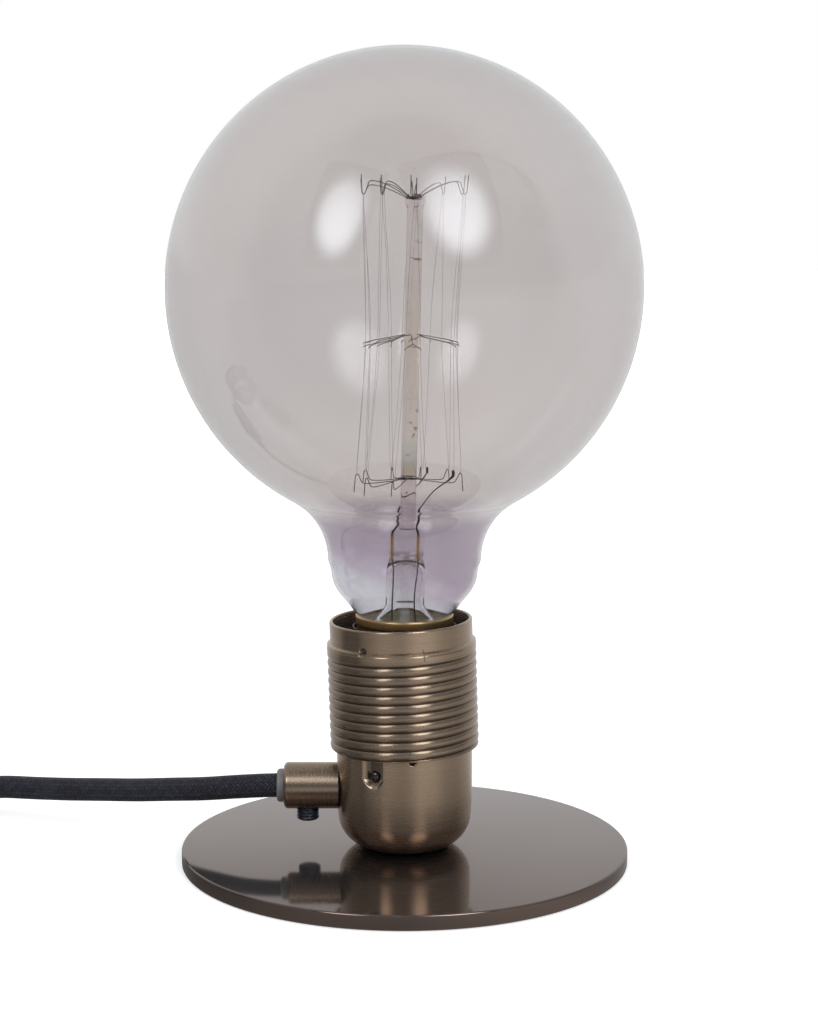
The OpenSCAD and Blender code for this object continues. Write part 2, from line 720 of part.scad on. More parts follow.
// Path of the filament: up and down between the hooks, drawn in at the middle
filament_path = concat(
    [polar(cage_r, strand_a(0), lower_z + 3.05)],
    [for (j = [0:2 * hooks - 1])
        let (up = j % 2 == 0, a = strand_a(j), b = strand_a(j + 1), s = up ? 1 : -1, w = 1.6,
            z0 = up ? lower_z : upper_z, z1 = up ? upper_z : lower_z)
        each [
            polar(cage_r, mix(a, b, 0.09), z0 + s * 4),
            polar(mix(cage_r, middle_cage_r, 0.8), mix(a, b, 0.4), mix(z0, z1, 0.35)),
            polar(middle_cage_r, mix(a, b, 0.5), middle_z),
            polar(mix(cage_r, middle_cage_r, 0.55), mix(a, b, 0.7), mix(z0, z1, 0.78)),
            polar(cage_r, b - w * 2.2, z1 - s * 2.6), polar(cage_r, b - w, z1 - s * 0.3),
            polar(cage_r, b, z1 + s * 0.12), polar(cage_r, b + w, z1 - s * 0.3)
        ]
    ]
);

module filament() {
    turns = [for (i = [0:len(filament_path) - 5]) filament_path[i]];
    path = concat(turns, [polar(cage_r, lead_a[1], lower_z + 3.05)]);
    color("dimgray") leaned() bar(path, filament_r, 4, outward);
}

bead_r = 0.8;

// The lead's way from the pinch to the filament's end at angle a. side is 1 on the +X side.
function lead_end(side, a) = concat(
    [[side * lead_x, 0, cap_top - 1], [side * lead_x, 0, pinch_z - 1], [side * lead_x, 0, pinch_z + 0.7],
    [side * lead_x + 0.5, -0.5, pinch_z + 2.4], polar(cage_r - 6.5, a, pinch_z + 7)],
    [leaned_point(polar(cage_r - 1.2, a, lower_z + 0.6)), leaned_point(polar(cage_r, a, lower_z + 2))]
);

module lead_in_wires() {
    across = function (q) [0.2, 1, 0.1];
    color(nickel) {
        bar(smooth(concat([
            [0, 0, tip_z + 2.42], [0, 0, tip_z + 7], [lead_x - 0.3, 0, cap_top - 14], [lead_x, 0, cap_top - 9]
        ], lead_end(1, lead_a[0])), 2), lead_r, 6, across);
        bar(smooth(concat([
            [-11.2, 0, cap_top - 8], [-7, 0, cap_top - 7.6], [-lead_x, 0, cap_top - 6]
        ], lead_end(-1, lead_a[1])), 2), lead_r, 6, across);
        for (a = lead_a) translate(leaned_point(polar(cage_r, a, lower_z + 2.2))) sphere(r = bead_r);
    }
}

// ---- cord ----

// The stretch from the lamp to the switch. It droops from the outlet as it swings back.
lamp_lead_route = [
    [-10, 0, outlet_z], [-22, 0, outlet_z], [-35, 0, outlet_z], [-45, 1, 19.7], [-55, 4.6, 18.1],
    [-65, 10, 16.4], [-75, 15.8, 14.6], [-85, 21.2, 13.2], [-95, 25.8, 12], [-105, 30.4, 11],
    [-116, 34.6, 10.2], [-125, 37.2, 8.6], [-133, 38, 7.5], [-141, 38, 7.5], [-150, 38, 7.5]
];
switch_at = [-176, 38, 0];
switch_axis_z = 7.5;
coil_at = [-250, 38 - coil_r, cord_r];
link_route = [
    [-202, 38, switch_axis_z], [-210, 38, switch_axis_z], [-218, 38, switch_axis_z],
    [-225, 38, 6.9], [-232, 38, 5.1], [-238, 38, 3.7], [-241, 38, cord_r], [-243.5, 38, cord_r]
];
coil_top_z = cord_r + 3 * coil_rise;
plug_at = [-170, coil_at[1] - coil_r, plug_d / 2];
relief_l = 28;
tail_route = [
    [-243.5, plug_at[1], coil_top_z], [-241, plug_at[1], coil_top_z], [-233, plug_at[1], 24.1],
    [-224, plug_at[1], 22.4], [-215, plug_at[1], 20.3], [-207, plug_at[1], 19],
    [-201, plug_at[1], plug_at[2]], [-192, plug_at[1], plug_at[2]]
];
cord_sides = 10;

module cord_lamp_lead() {
    color(black) bar(lamp_lead_route, cord_r, cord_sides);
}

module cord_link() {
    color(black) bar(link_route, cord_r, cord_sides);
}

module cord_tail() {
    color(black) bar(tail_route, cord_r, cord_sides);
}

coil_layers = 4;
layer_turns = coil_turns / coil_layers;
turn_back = 0.25;                             // turns on each side of a reversal
tie_t = 1;
tie_w = 9;
tie_a = 0;
coil_rings = 24;                              // rings a turn

// Turns from the widest turn at u turns along: the spiral runs in and out again
function fold(u) = let (m = u % (2 * layer_turns)) min(m, 2 * layer_turns - m);
// The same, with each reversal rounded off over half a turn
function wound_in(u) =
    let (f = fold(u), g = layer_turns - f, b = turn_back)
    u < b || u > coil_turns - b ? f
    : f < b ? (f * f + b * b) / (2 * b)
    : g < b ? layer_turns - (g * g + b * b) / (2 * b)
    : f;
// Layers climbed, each in the half turn where the spiral reverses
function climbed(u) = ease((u / layer_turns - 1) * layer_turns / (2 * turn_back) + 0.5)
    + ease((u / layer_turns - 2) * layer_turns / (2 * turn_back) + 0.5)
    + ease((u / layer_turns - 3) * layer_turns / (2 * turn_back) + 0.5);
// The coil passes over the tie's strap on the floor
function lift(a) = (tie_t + 0.3) * ease((50 - abs((a - tie_a + 180) % 360 - 180)) / 30);
coil_path = concat(
    [coil_at + [cord_d, coil_r, 0]],
    [for (k = [0:coil_turns * coil_rings])
        let (u = k / coil_rings, a = 90 + 360 * u)
            coil_at + polar(coil_r - coil_step * wound_in(u), a, coil_rise * climbed(u) + lift(a))],
    [coil_at + [cord_d, -coil_r, 3 * coil_rise]]
);
coil_gap = min([
    for (i = [1:len(coil_path) - 2], j = [i + coil_rings / 2:1:len(coil_path) - 2])
        norm(coil_path[i] - coil_path[j])
]) - cord_d;
echo("least gap between the coil's turns", coil_gap);

module cord_coil() {
    color(black) bar(coil_path, cord_r, 6);
}

// Points of a rectangle l by w with corners of radius r, centred
function round_rect(l, w, r) = concat(
    arc([l / 2 - r, w / 2 - r], r, 0, 90, 6), arc([-l / 2 + r, w / 2 - r], r, 90, 180, 6),
    arc([-l / 2 + r, -w / 2 + r], r, 180, 270, 6), arc([l / 2 - r, -w / 2 + r], r, 270, 360, 6)
);

module cord_tie() {
    inside = coil_r - coil_step * layer_turns - cord_r - 0.7;
    outside = coil_r + cord_r + 0.3;
    top = 3 * coil_rise + cord_d + tie_t + 0.6;
    l = outside - inside;
    color("dimgray") translate([coil_at[0], coil_at[1], 0]) rotate([0, 0, tie_a])
        translate([(inside + outside) / 2, tie_w / 2, top / 2 + tie_t / 2]) rotate([90, 0, 0])
            linear_extrude(tie_w) difference() {
                polygon(round_rect(l + 2 * tie_t, top + tie_t, 3));
                polygon(round_rect(l, top - tie_t, 2));
            }
}

// ---- in-line switch ----

split_z = 11;
switch_wall = 1.6;
switch_corner = 11;
switch_edge = 4.5;
pivot_z = 14.5;
pivot_r = 1.5;
rocker_l = 21.8;
rocker_w = 9.4;
snout_l = 12;
window_l = rocker_l + 0.6;
pivot_end = rocker_w / 2 + 2.2;               // how far the pivot's holes reach from the middle
boss_at = [17, -8.8];
boss_r = 2.8;

// The housing's rounded form, t inside its outer face
module switch_form(t) {
    l = switch_l - 2 * t;
    w = switch_w - 2 * t;
    h = switch_h - 2 * t;
    translate([0, 0, switch_h / 2]) intersection() {
        translate([0, 0, -h / 2]) linear_extrude(h) polygon(round_rect(l, w, switch_corner - t));
        translate([0, w / 2, 0]) rotate([90, 0, 0])
            linear_extrude(w) polygon(round_rect(l, h, switch_edge - t));
        translate([-l / 2, 0, 0]) rotate([90, 0, 90])
            linear_extrude(l) polygon(round_rect(w, h, switch_edge - t));
    }
}

module switch_base() {
    color(black) translate(switch_at) difference() {
        union() {
            intersection() {
                difference() {
                    switch_form(0);
                    switch_form(switch_wall);
                }
                translate([-50, -50, -1]) cube([100, 100, split_z + 1]);
            }
            for (s = [-1, 1]) difference() {
                translate([s * (switch_l / 2 - 5), 0, switch_axis_z]) rotate([0, s * 90, 0])
                    cylinder(r1 = 6.4, r2 = 4.6, h = snout_l + 5);
                switch_form(0.8);
                intersection() {
                    switch_form(0);
                    translate([-50, -50, split_z]) cube([100, 100, 20]);
                }
            }
            for (s = [-1, 1]) translate([s * boss_at[0], boss_at[1], 0.8]) {
                cylinder(r = boss_r, h = split_z - 0.8);
            }
        }
        translate([-60, 0, switch_axis_z]) rotate([0, 90, 0]) cylinder(r = cord_r + 0.1, h = 120);
        for (s = [-1, 1]) translate([s * boss_at[0], boss_at[1], -1]) {
            cylinder(r = 1.35, h = 20);
            cylinder(r = 2.4, h = 2.6);
        }
    }
}

module switch_cover() {
    color(black) translate(switch_at) difference() {
        union() {
            intersection() {
                difference() {
                    switch_form(0);
                    switch_form(switch_wall);
                }
                translate([-50, -50, split_z]) cube([100, 100, 20]);
            }
            for (s = [-1, 1]) {
                translate([s * boss_at[0], boss_at[1], split_z])
                    cylinder(r = boss_r, h = switch_h - split_z - 1);
                translate([-3.5, s * (rocker_w / 2 + 1.3) - 1, pivot_z - 2.6])
                    cube([7, 2, switch_h - pivot_z + 1.6]);
            }
        }
        translate([-window_l / 2, -rocker_w / 2 - 0.3, split_z]) cube([window_l, rocker_w + 0.6, 20]);
        translate([0, pivot_end, pivot_z]) rotate([90, 0, 0])
            cylinder(r = pivot_r + 0.05, h = 2 * pivot_end);
        for (s = [-1, 1]) translate([s * boss_at[0], boss_at[1], split_z - 1]) cylinder(r = 1.2, h = 6);
    }
}

module switch_rocker() {
    end_r = rocker_l / 2;
    color(black) translate(switch_at + [0, 0, pivot_z]) rotate([0, rocker_travel / 2, 0]) rotate([90, 0, 0]) {
        translate([0, 0, -rocker_w / 2]) linear_extrude(rocker_w) polygon(concat(
            [[0, 4.2]], arc([0, 0], end_r, 29, -6, 6), [[5, -3], [-5, -3]], arc([0, 0], end_r, 186, 151, 6)
        ));
        translate([0, 0, -rocker_w / 2 - 2]) cylinder(r = pivot_r, h = rocker_w + 4);
    }
}

module switch_contacts() {
    color(brass) translate(switch_at) for (s = [-1, 1]) translate([s * 15.5, 6.4, switch_wall + 0.1]) {
        difference() {
            translate([-3, -2.5, 0]) cube([6, 5, 6]);
            translate([0, 0, 3]) rotate([0, 90, 0]) cylinder(r = 1.3, h = 20, center = true);
        }
        translate([s > 0 ? -9 : 3, -2, 0.4]) cube([6, 4, 0.8]);
    }
}

module switch_screws() {
    color(nickel) translate(switch_at) for (s = [-1, 1]) {
        translate([s * boss_at[0], boss_at[1], 0.6]) difference() {
            union() {
                cylinder(r = 2.3, h = 1);
                cylinder(r = 1.15, h = split_z + 2.5);
            }
            for (a = [0, 90]) rotate([0, 0, a]) translate([-1.5, -0.25, -1]) cube([3, 0.5, 1.5]);
        }
    }
}

// ---- plug ----

pin_gap = 19;
pin_l = 19;
pin_r = 2.4;
pin_root_r = 2;                               // the pin is thinner where it sits in the body
pin_root_l = 9;
clip_w = 5;
clip_slot = clip_w + 1.2;

// Turns what is drawn along +Z to lie along +X on the plug's axis, from the back of its body
module on_plug() {
    translate(plug_at) rotate([0, 90, 0]) children();
}

module plug_strain_relief() {
    color(black) on_plug() difference() {
        rotate_extrude() polygon(concat(
            [[0, 0], [0, -relief_l]],
            [[4.3, -relief_l], [4.5, -relief_l + 0.6]],
            [for (k = [0:5]) let (z = -relief_l + 2.4 + k * 4, r = 4.7 + 0.36 * k)
                each [[r, z], [r - 0.9, z + 0.5], [r - 0.8, z + 1.5], [r + 0.2, z + 2]]],
            [[7, 0]]
        ));
        translate([0, 0, -relief_l - 1]) cylinder(r = cord_r + 0.1, h = relief_l - 4);
    }
}

module plug_body() {
    r = plug_d / 2;
    color(black) on_plug() difference() {
        rotate_extrude() polygon(concat(
            [[0, 0], [8.5, 0]],
            arc([r - 9, 9.4], 9, -75, 0, 6),
            [[r - 0.7, 10.6], [r - 0.7, 12.4], [r, 13], [r - 0.7, 13.6], [r - 0.7, 15.4], [r, 16]],
            arc([r - 1, plug_l - 1], 1, 0, 90, 4),
            [[0, plug_l]]
        ));
        for (s = [-1, 1]) {
            translate([0, s * pin_gap / 2, plug_l - pin_root_l]) cylinder(r = pin_root_r + eps, h = 20);
            translate([s > 0 ? r - 2.6 : -r - 2, -clip_slot / 2, plug_l - 12]) cube([4.6, clip_slot, 20]);
        }
        translate([-10, 0, plug_l - 15]) cylinder(r = 2.5, h = 20);
    }
}

module plug_pins() {
    root = -pin_root_l + 0.1;
    color(nickel) on_plug() for (s = [-1, 1]) translate([0, s * pin_gap / 2, plug_l]) {
        rotate_extrude() polygon(concat(
            [[0, root], [pin_root_r, root], [pin_root_r, 0], [pin_r, 0]],
            arc([pin_r - 1.2, pin_l - 1.2], 1.2, 0, 90, 4), [[0, pin_l]]
        ));
    }
}

module plug_earth_clips() {
    r = plug_d / 2;
    bow = smooth([
        [r - 2.2, plug_l - 11.9], [r - 2.2, plug_l - 10], [r - 0.9, plug_l - 6.5],
        [r - 1.9, plug_l - 2.5], [r - 2.2, plug_l - 0.6]
    ], 3);
    color(nickel) on_plug() for (a = [0, 180]) rotate([0, 0, a]) translate([0, clip_w / 2, 0])
        rotate([90, 0, 0]) linear_extrude(clip_w) polygon(strip(bow, 0.6));
}

base_disc();
base_pad();
base_screw();
base_washer();
base_nut();
earth_ring_terminal();
lampholder_cup();
lampholder_shell();
shell_lock_screw();
ceramic_insert();
screw_sleeve();
centre_contact();
contact_rivets();
terminal_blocks();
terminal_screws();
live_wire();
neutral_wire();
earth_wire();
cord_outlet_tube();
cord_outlet_nut();
cord_outlet_bush();
cord_grip_screw();
bulb_glass();
bulb_screw_cap();
cap_cement();
cap_insulator();
bulb_contact();
glass_stem();
exhaust_tube();
support_rod();
upper_anchors();
middle_anchors();
lower_anchors();
lead_in_wires();
filament();
cord_lamp_lead();
switch_base();
switch_cover();
switch_rocker();
switch_contacts();
switch_screws();
cord_link();
cord_coil();
cord_tie();
cord_tail();
plug_strain_relief();
plug_body();
plug_pins();
plug_earth_clips();
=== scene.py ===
import json
import random
from math import atan2, ceil, cos, degrees, exp, hypot, pi, radians, sin, sqrt, tan

import bmesh
import bpy
import numpy as np
from mathutils import Matrix, Vector


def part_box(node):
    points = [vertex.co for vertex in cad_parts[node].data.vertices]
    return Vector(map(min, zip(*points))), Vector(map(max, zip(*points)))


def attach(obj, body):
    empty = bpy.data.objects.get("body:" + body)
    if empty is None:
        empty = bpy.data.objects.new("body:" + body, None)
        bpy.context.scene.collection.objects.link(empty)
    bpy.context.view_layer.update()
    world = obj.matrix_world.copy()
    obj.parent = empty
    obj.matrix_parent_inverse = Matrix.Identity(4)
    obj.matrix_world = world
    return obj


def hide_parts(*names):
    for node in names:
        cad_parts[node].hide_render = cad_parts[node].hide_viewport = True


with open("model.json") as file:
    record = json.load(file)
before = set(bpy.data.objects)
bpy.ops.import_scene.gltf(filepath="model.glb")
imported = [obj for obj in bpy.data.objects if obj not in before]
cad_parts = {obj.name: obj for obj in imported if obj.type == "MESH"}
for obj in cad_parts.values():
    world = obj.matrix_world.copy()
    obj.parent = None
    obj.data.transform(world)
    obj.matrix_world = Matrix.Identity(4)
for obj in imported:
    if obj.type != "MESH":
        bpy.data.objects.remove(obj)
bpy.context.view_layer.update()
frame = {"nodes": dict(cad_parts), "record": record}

MM = 0.001
PHOTO_H = 1024  # pixels, like the focal length
FOCAL_PX = 2199
CAMERA_AT = (0.0012, -0.58, 0.1821)
CAMERA_DOWN = 8.5  # degrees below the horizon

RECORD = frame["record"]
BODY = {node: body for body, nodes in RECORD["behaviour"]["bodies"].items() for node in nodes}
SLOT = {row["node"]: row["material_slot"] for row in RECORD["subparts"]}


# ---- small helpers ----

def mix(a, b, t):
    return a + (b - a) * t


def series(start, end, count):
    """Numbers from start to end, in count even steps."""
    return [mix(start, end, k / count) for k in range(count + 1)]


def ease(t):
    """Smooth step from 0 to 1."""
    t = min(max(t, 0.0), 1.0)
    return t * t * (3 - 2 * t)


def polar(r, turn, z):
    """Point at a radius, an angle in degrees and a height."""
    a = radians(turn)
    return Vector((r * cos(a), r * sin(a), z))


def angle_from(a, other):
    """Degrees from the angle other to a, the short way round."""
    return (a - other + 180) % 360 - 180


def arc(centre, radius, start, end, steps):
    """Points (x, y) of an arc, its angles in degrees."""
    angles = [radians(a) for a in series(start, end, steps)]
    return [(centre[0] + radius * cos(a), centre[1] + radius * sin(a)) for a in angles]


def rounded(corners, steps=5):
    """Closed outline through the corners (x, y, radius), each rounded by its radius."""
    points = []
    for i, (x, y, radius) in enumerate(corners):
        here = Vector((x, y))
        back = (Vector(corners[i - 1][:2]) - here).normalized()
        on = (Vector(corners[(i + 1) % len(corners)][:2]) - here).normalized()
        if radius == 0:
            points.append((x, y))
            continue
        half = back.angle(on) / 2
        centre = here + (back + on).normalized() * radius / sin(half)
        first = here + back * radius / tan(half) - centre
        last = here + on * radius / tan(half) - centre
        for k in range(steps + 1):
            points.append(tuple(centre + first.slerp(last, k / steps).normalized() * radius))
    return points


def smooth_path(points, steps):
    """Smooth curve through the points, as an array, with steps pieces between neighbours."""
    p = [Vector(q) for q in points]
    p = [2 * p[0] - p[1]] + p + [2 * p[-1] - p[-2]]
    out = []
    for a, b, c, d in zip(p, p[1:], p[2:], p[3:]):
        for k in range(steps):
            t = k / steps
            out.append(0.5 * (2 * b + (c - a) * t + (2 * a - 5 * b + 4 * c - d) * t * t
                              + (3 * b - a - 3 * c + d) * t ** 3))
    return np.array(out + [p[-2]])


def distances(path):
    """How far along the path each of its points is."""
    return np.concatenate([[0], np.cumsum(np.linalg.norm(np.diff(path, axis=0), axis=1))])


def spaced(path, step):
    """The same line, with its points about a step apart."""
    along = distances(path)
    at = np.linspace(0, along[-1], max(2, round(along[-1] / step) + 1))
    return np.stack([np.interp(at, along, path[:, k]) for k in range(3)], axis=1)


def soften(mesh, sharp=35):
    """Smooth shading, but not over edges sharper than sharp degrees."""
    mesh.shade_smooth()
    mesh.set_sharp_from_angle(angle=radians(sharp))


def add_mesh(name, points, faces, sharp=35, uv=None):
    """New object from points and faces. uv has a pair for each corner."""
    mesh = bpy.data.meshes.new(name)
    mesh.from_pydata([tuple(p) for p in points], [], [tuple(int(i) for i in f) for f in faces])
    if uv is not None:
        mesh.uv_layers.new(name="uv").data.foreach_set("uv", np.asarray(uv, np.float32).ravel())
    soften(mesh, sharp)
    piece = bpy.data.objects.new(name, mesh)
    bpy.context.scene.collection.objects.link(piece)
    return piece


def applied(piece):
    """The piece with its modifiers applied."""
    evaluated = piece.evaluated_get(bpy.context.evaluated_depsgraph_get())
    mesh = bpy.data.meshes.new_from_object(evaluated)
    piece.modifiers.clear()
    piece.data = mesh
    return piece


def joined(name, pieces):
    """One object made of several."""
    with bpy.context.temp_override(active_object=pieces[0], object=pieces[0], selected_objects=pieces,
                                   selected_editable_objects=pieces):
        bpy.ops.object.join()
    pieces[0].name = name
    pieces[0].data.name = name
    return pieces[0]


def lathe(name, outline, segments=192, place=Matrix(), push=None, angles=None, sharp=35):
    """Turned piece: the closed outline of (r, z) points, anticlockwise with r to the right, spun round Z.
    push(angle, r, z) says how far a point moves in towards the axis."""
    angles = angles or [360 * k / segments for k in range(segments)]
    columns, rows = len(angles), len(outline)
    points = []
    for r, z in outline:
        points += [place @ polar(max(r, 0) - (push(a, r, z) if push else 0), a, z) for a in angles]
    faces = []
    for j in range(rows):
        below, above = j, (j + 1) % rows
        on_axis = outline[below][0] <= 0, outline[above][0] <= 0
        if all(on_axis):
            continue
        for i in range(columns):
            k = (i + 1) % columns
            a, b = below * columns + i, below * columns + k
            c, d = above * columns + k, above * columns + i
            if on_axis[0]:
                faces.append((below * columns, c, d))
            elif on_axis[1]:
                faces.append((a, b, above * columns))
            else:
                faces.append((a, b, c, d))
    return add_mesh(name, *without_loose(points, faces), sharp=sharp)


def without_loose(points, faces):
    """Points and faces without the points that no face uses."""
    used = sorted({i for f in faces for i in f})
    new = {old: i for i, old in enumerate(used)}
    return [points[i] for i in used], [tuple(new[i] for i in f) for f in faces]


def tube(name, path, radius, sides, relief=None, sharp=50):
    """Round bar along a path. relief(turn, along) moves a point out: turn goes from 0 to 1 and along is in
    metres, as in its UV map. radius is a number, or one for each point."""
    path = np.asarray(path, float)
    n = len(path)
    radius = np.broadcast_to(np.asarray(radius, float), (n,))
    heading = np.gradient(path, axis=0)
    heading /= np.linalg.norm(heading, axis=1)[:, None]
    side = np.cross(heading[0], (0, 0, 1) if abs(heading[0][2]) < 0.9 else (0, 1, 0))
    along = distances(path)
    k = np.arange(sides)
    turn = k / sides
    x, y = np.cos(2 * np.pi * turn)[:, None], np.sin(2 * np.pi * turn)[:, None]
    rings = []
    for i in range(n):
        side = side - heading[i] * np.dot(side, heading[i])
        side = side / np.linalg.norm(side)
        up = np.cross(side, heading[i])
        reach = radius[i] + (relief(turn, along[i])[:, None] if relief else 0)
        rings.append(path[i] + reach * (x * side + y * up))
    points = np.concatenate(rings)
    base = (np.arange(n - 1) * sides)[:, None]
    a, b = base + k, base + (k + 1) % sides
    quads = np.stack([a, b, b + sides, a + sides], axis=2).reshape(-1, 4)
    u0, v0 = np.broadcast_arrays(turn, along[:-1, None])
    u1, v1 = np.broadcast_arrays((k + 1) / sides, along[1:, None])
    uv = np.stack([u0, v0, u1, v0, u1, v1, u0, v1], axis=2).reshape(-1, 2)
    ends = [tuple(reversed(range(sides))), tuple(range((n - 1) * sides, n * sides))]
    uv = np.concatenate([uv, np.zeros((2 * sides, 2))])
    return add_mesh(name, points, [*quads.tolist(), *ends], sharp=sharp, uv=uv)


def add_square(name, half):
    """Flat square at the origin, from its half width."""
    corners = [(-half, -half, 0), (half, -half, 0), (half, half, 0), (-half, half, 0)]
    return add_mesh(name, corners, [(0, 1, 2, 3)])


def add_box(name, size):
    """Box round the origin."""
    points = [Vector((sx * size[0], sy * size[1], sz * size[2])) / 2
              for sx in (-1, 1) for sy in (-1, 1) for sz in (-1, 1)]
    faces = [(0, 1, 3, 2), (4, 6, 7, 5), (0, 4, 5, 1), (2, 3, 7, 6), (0, 2, 6, 4), (1, 5, 7, 3)]
    return add_mesh(name, points, faces)


def cut(piece, tool):
    """The piece less the tool, as a finished mesh."""
    modifier = piece.modifiers.new("cut", "BOOLEAN")
    modifier.operation = "DIFFERENCE"
    modifier.solver = "EXACT"
    modifier.object = tool
    applied(piece)
    bpy.data.objects.remove(tool)
    soften(piece.data)
    return piece


def wear(piece, look):
    piece.data.materials.clear()
    piece.data.materials.append(look)


def stands_for(piece, *nodes, look=None):
    """The piece replaces these nodes, on their body, with their material slot."""
    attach(piece, BODY[nodes[0]])
    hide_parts(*nodes)
    wear(piece, look or LOOKS[SLOT[nodes[0]]])


# ---- materials ----

def shade(colour, share):
    """A darker colour."""
    return tuple(share * c for c in colour)


class Graph:
    """A node tree, with short calls that add nodes to it."""

    def __init__(self, tree):
        self.tree = tree

    def node(self, kind, inputs=(), **settings):
        """New node. Its inputs take values, or sockets to link them to."""
        made = self.tree.nodes.new(kind)
        for key, value in settings.items():
            setattr(made, key, value)
        for key, value in dict(inputs).items():
            self.feed(made.inputs[key], value)
        return made

    def feed(self, socket, value):
        """Links another socket to this one, or gives it a value."""
        if isinstance(value, bpy.types.NodeSocket):
            self.tree.links.new(value, socket)
        else:
            socket.default_value = (*value, 1) if socket.type == "RGBA" else value

    def math(self, operation, *values):
        return self.node("ShaderNodeMath", dict(enumerate(values)), operation=operation).outputs[0]

    def times(self, a, b):
        return self.math("MULTIPLY", a, b)

    def plus(self, a, b):
        return self.math("ADD", a, b)

    def line(self, value, slope, start):
        """slope * value + start"""
        return self.math("MULTIPLY_ADD", value, slope, start)

    def wave(self, value):
        return self.math("SINE", value)

    def place(self, scale=(1, 1, 1)):
        """Coordinates of the surface, in metres before the scale."""
        source = self.node("ShaderNodeTexCoord").outputs["Object"]
        return self.node("ShaderNodeMapping", {"Vector": source, "Scale": scale}).outputs[0]

    def xyz(self):
        return self.split(self.place())

    def noise(self, where, detail, roughness=0.5):
        inputs = {"Vector": where, "Scale": 1, "Detail": detail, "Roughness": roughness}
        return self.node("ShaderNodeTexNoise", inputs).outputs["Fac"]

    def grain(self, scale, detail, roughness=0.5):
        """Noise on the surface. scale is how many grains there are to a metre, one number or three."""
        scale = scale if isinstance(scale, tuple) else (scale,) * 3
        return self.noise(self.place(scale), detail, roughness)

    def ramp(self, value, *stops):
        """Colour, or grey level, that follows a value through (position, colour) stops."""
        made = self.node("ShaderNodeValToRGB", {"Fac": value})
        elements = made.color_ramp.elements
        while len(elements) < len(stops):
            elements.new(0.5)
        for element, (position, colour) in zip(elements, stops):
            element.position = position
            element.color = (*(colour if isinstance(colour, tuple) else (colour,) * 3), 1)
        return made.outputs["Color"]

    def blend(self, factor, a, b, how="MIX"):
        inputs = {0: factor, 6: a, 7: b}
        return self.node("ShaderNodeMix", inputs, data_type="RGBA", blend_type=how).outputs[2]

    def split(self, vector):
        return self.node("ShaderNodeSeparateXYZ", {0: vector}).outputs

    def distance(self, point, centre=(0, 0, 0)):
        return self.node("ShaderNodeVectorMath", {0: point, 1: centre}, operation="DISTANCE").outputs["Value"]

    def smooth(self, value, start, end):
        """0 to 1 as the value goes from start to end."""
        inputs = {"Value": value, "From Min": start, "From Max": end}
        return self.node("ShaderNodeMapRange", inputs, interpolation_type="SMOOTHSTEP").outputs[0]

    def band(self, value, start, full, less, end):
        """0 to 1 from start to full, and back to 0 from less to end."""
        return self.times(self.smooth(value, start, full), self.smooth(value, end, less))


class Look(Graph):
    """A material with a Principled shader, and the nodes that drive it."""

    def __init__(self, name, **values):
        self.material = bpy.data.materials.new(name)
        self.material.use_nodes = True
        super().__init__(self.material.node_tree)
        self.shader = self.tree.nodes["Principled BSDF"]
        for key, value in values.items():
            self.feed(self.shader.inputs[key.replace("_", " ")], value)

    def drive(self, socket, source):
        self.tree.links.new(source, self.shader.inputs[socket])

    def surface(self, shader):
        self.tree.links.new(shader.outputs[0], self.tree.nodes["Material Output"].inputs["Surface"])

    def paint(self, colour):
        self.drive("Base Color", colour)

    def bump(self, height, distance):
        made = self.node("ShaderNodeBump", {"Height": height, "Distance": distance})
        self.drive("Normal", made.outputs[0])


def metal(name, colour, dark, roughness, grain, streak=1.0, anisotropic=0.0, tangent=None, spread=0.08,
          bump=2e-6, **values):
    """Metal with a grain of fine streaks. Where a mesh has the attribute painted_shade, its deep places get
    painted shade.
    colour and dark are the grain's two tones, streak and spread say how far it sways tone and roughness, and
    tangent is the axis that the surface was brushed round."""
    look = Look(name, Metallic=1.0, Base_Color=colour, Roughness=roughness, Anisotropic=anisotropic,
                Anisotropic_Rotation=0.25, **values)
    fine = look.grain(grain, 4, 0.65)
    broad = look.grain(60, 3)
    tone = look.plus(look.times(fine, 0.75 * streak), look.times(broad, 0.35))
    plating = look.ramp(tone, (0.25, dark), (0.8, colour))
    # painted shade: the painted_shade attribute blends the colour towards a dark bronze in recesses and
    # grooves
    painted_shade = look.node("ShaderNodeAttribute", attribute_name="painted_shade").outputs["Fac"]
    look.paint(look.blend(look.times(painted_shade, 0.8), plating, shade(dark, 0.3)))
    look.drive("Roughness", look.line(fine, 2 * spread, roughness - spread))
    look.bump(fine, bump)
    if tangent:
        made = look.node("ShaderNodeTangent", direction_type="RADIAL", axis=tangent)
        look.drive("Tangent", made.outputs[0])
    return look.material


BRONZE = (0.405, 0.293, 0.198)
BRONZE_DARK = (0.295, 0.212, 0.148)


def antique_bronze(name, grain, tangent, tone=1.0, streak=1.2, bump=2e-6):
    """Brushed bronze under a dull lacquer."""
    return metal(name, shade(BRONZE, tone), shade(BRONZE_DARK, tone), 0.27, grain, streak, anisotropic=0.75,
                 tangent=tangent, spread=0.05, bump=bump, Coat_Weight=0.9, Coat_Roughness=0.55)


def polished_disc(name):
    """Dark bronze plating with a soft polish, and faint turning marks round the middle."""
    look = Look(name, Metallic=1.0, Base_Color=(0.17, 0.125, 0.105), Roughness=0.09,
                Coat_Weight=0.5, Coat_Roughness=0.55)
    where = look.xyz()
    squares = look.plus(look.times(where[0], where[0]), look.times(where[1], where[1]))
    radius = look.math("SQRT", squares)
    rings = look.node("ShaderNodeCombineXYZ", {0: look.times(radius, 4500.0),
                                               1: look.times(where[0], 12.0),
                                               2: look.times(where[1], 12.0)}).outputs[0]
    marks = look.noise(rings, 3, 0.6)
    cloud = look.grain(35, 4)
    tone = look.plus(look.times(marks, 0.35), look.times(cloud, 0.65))
    look.paint(look.ramp(tone, (0.3, (0.162, 0.116, 0.096)), (0.7, (0.192, 0.14, 0.116))))
    look.drive("Roughness", look.line(cloud, 0.06, 0.06))
    look.bump(marks, 4e-7)
    return look.material


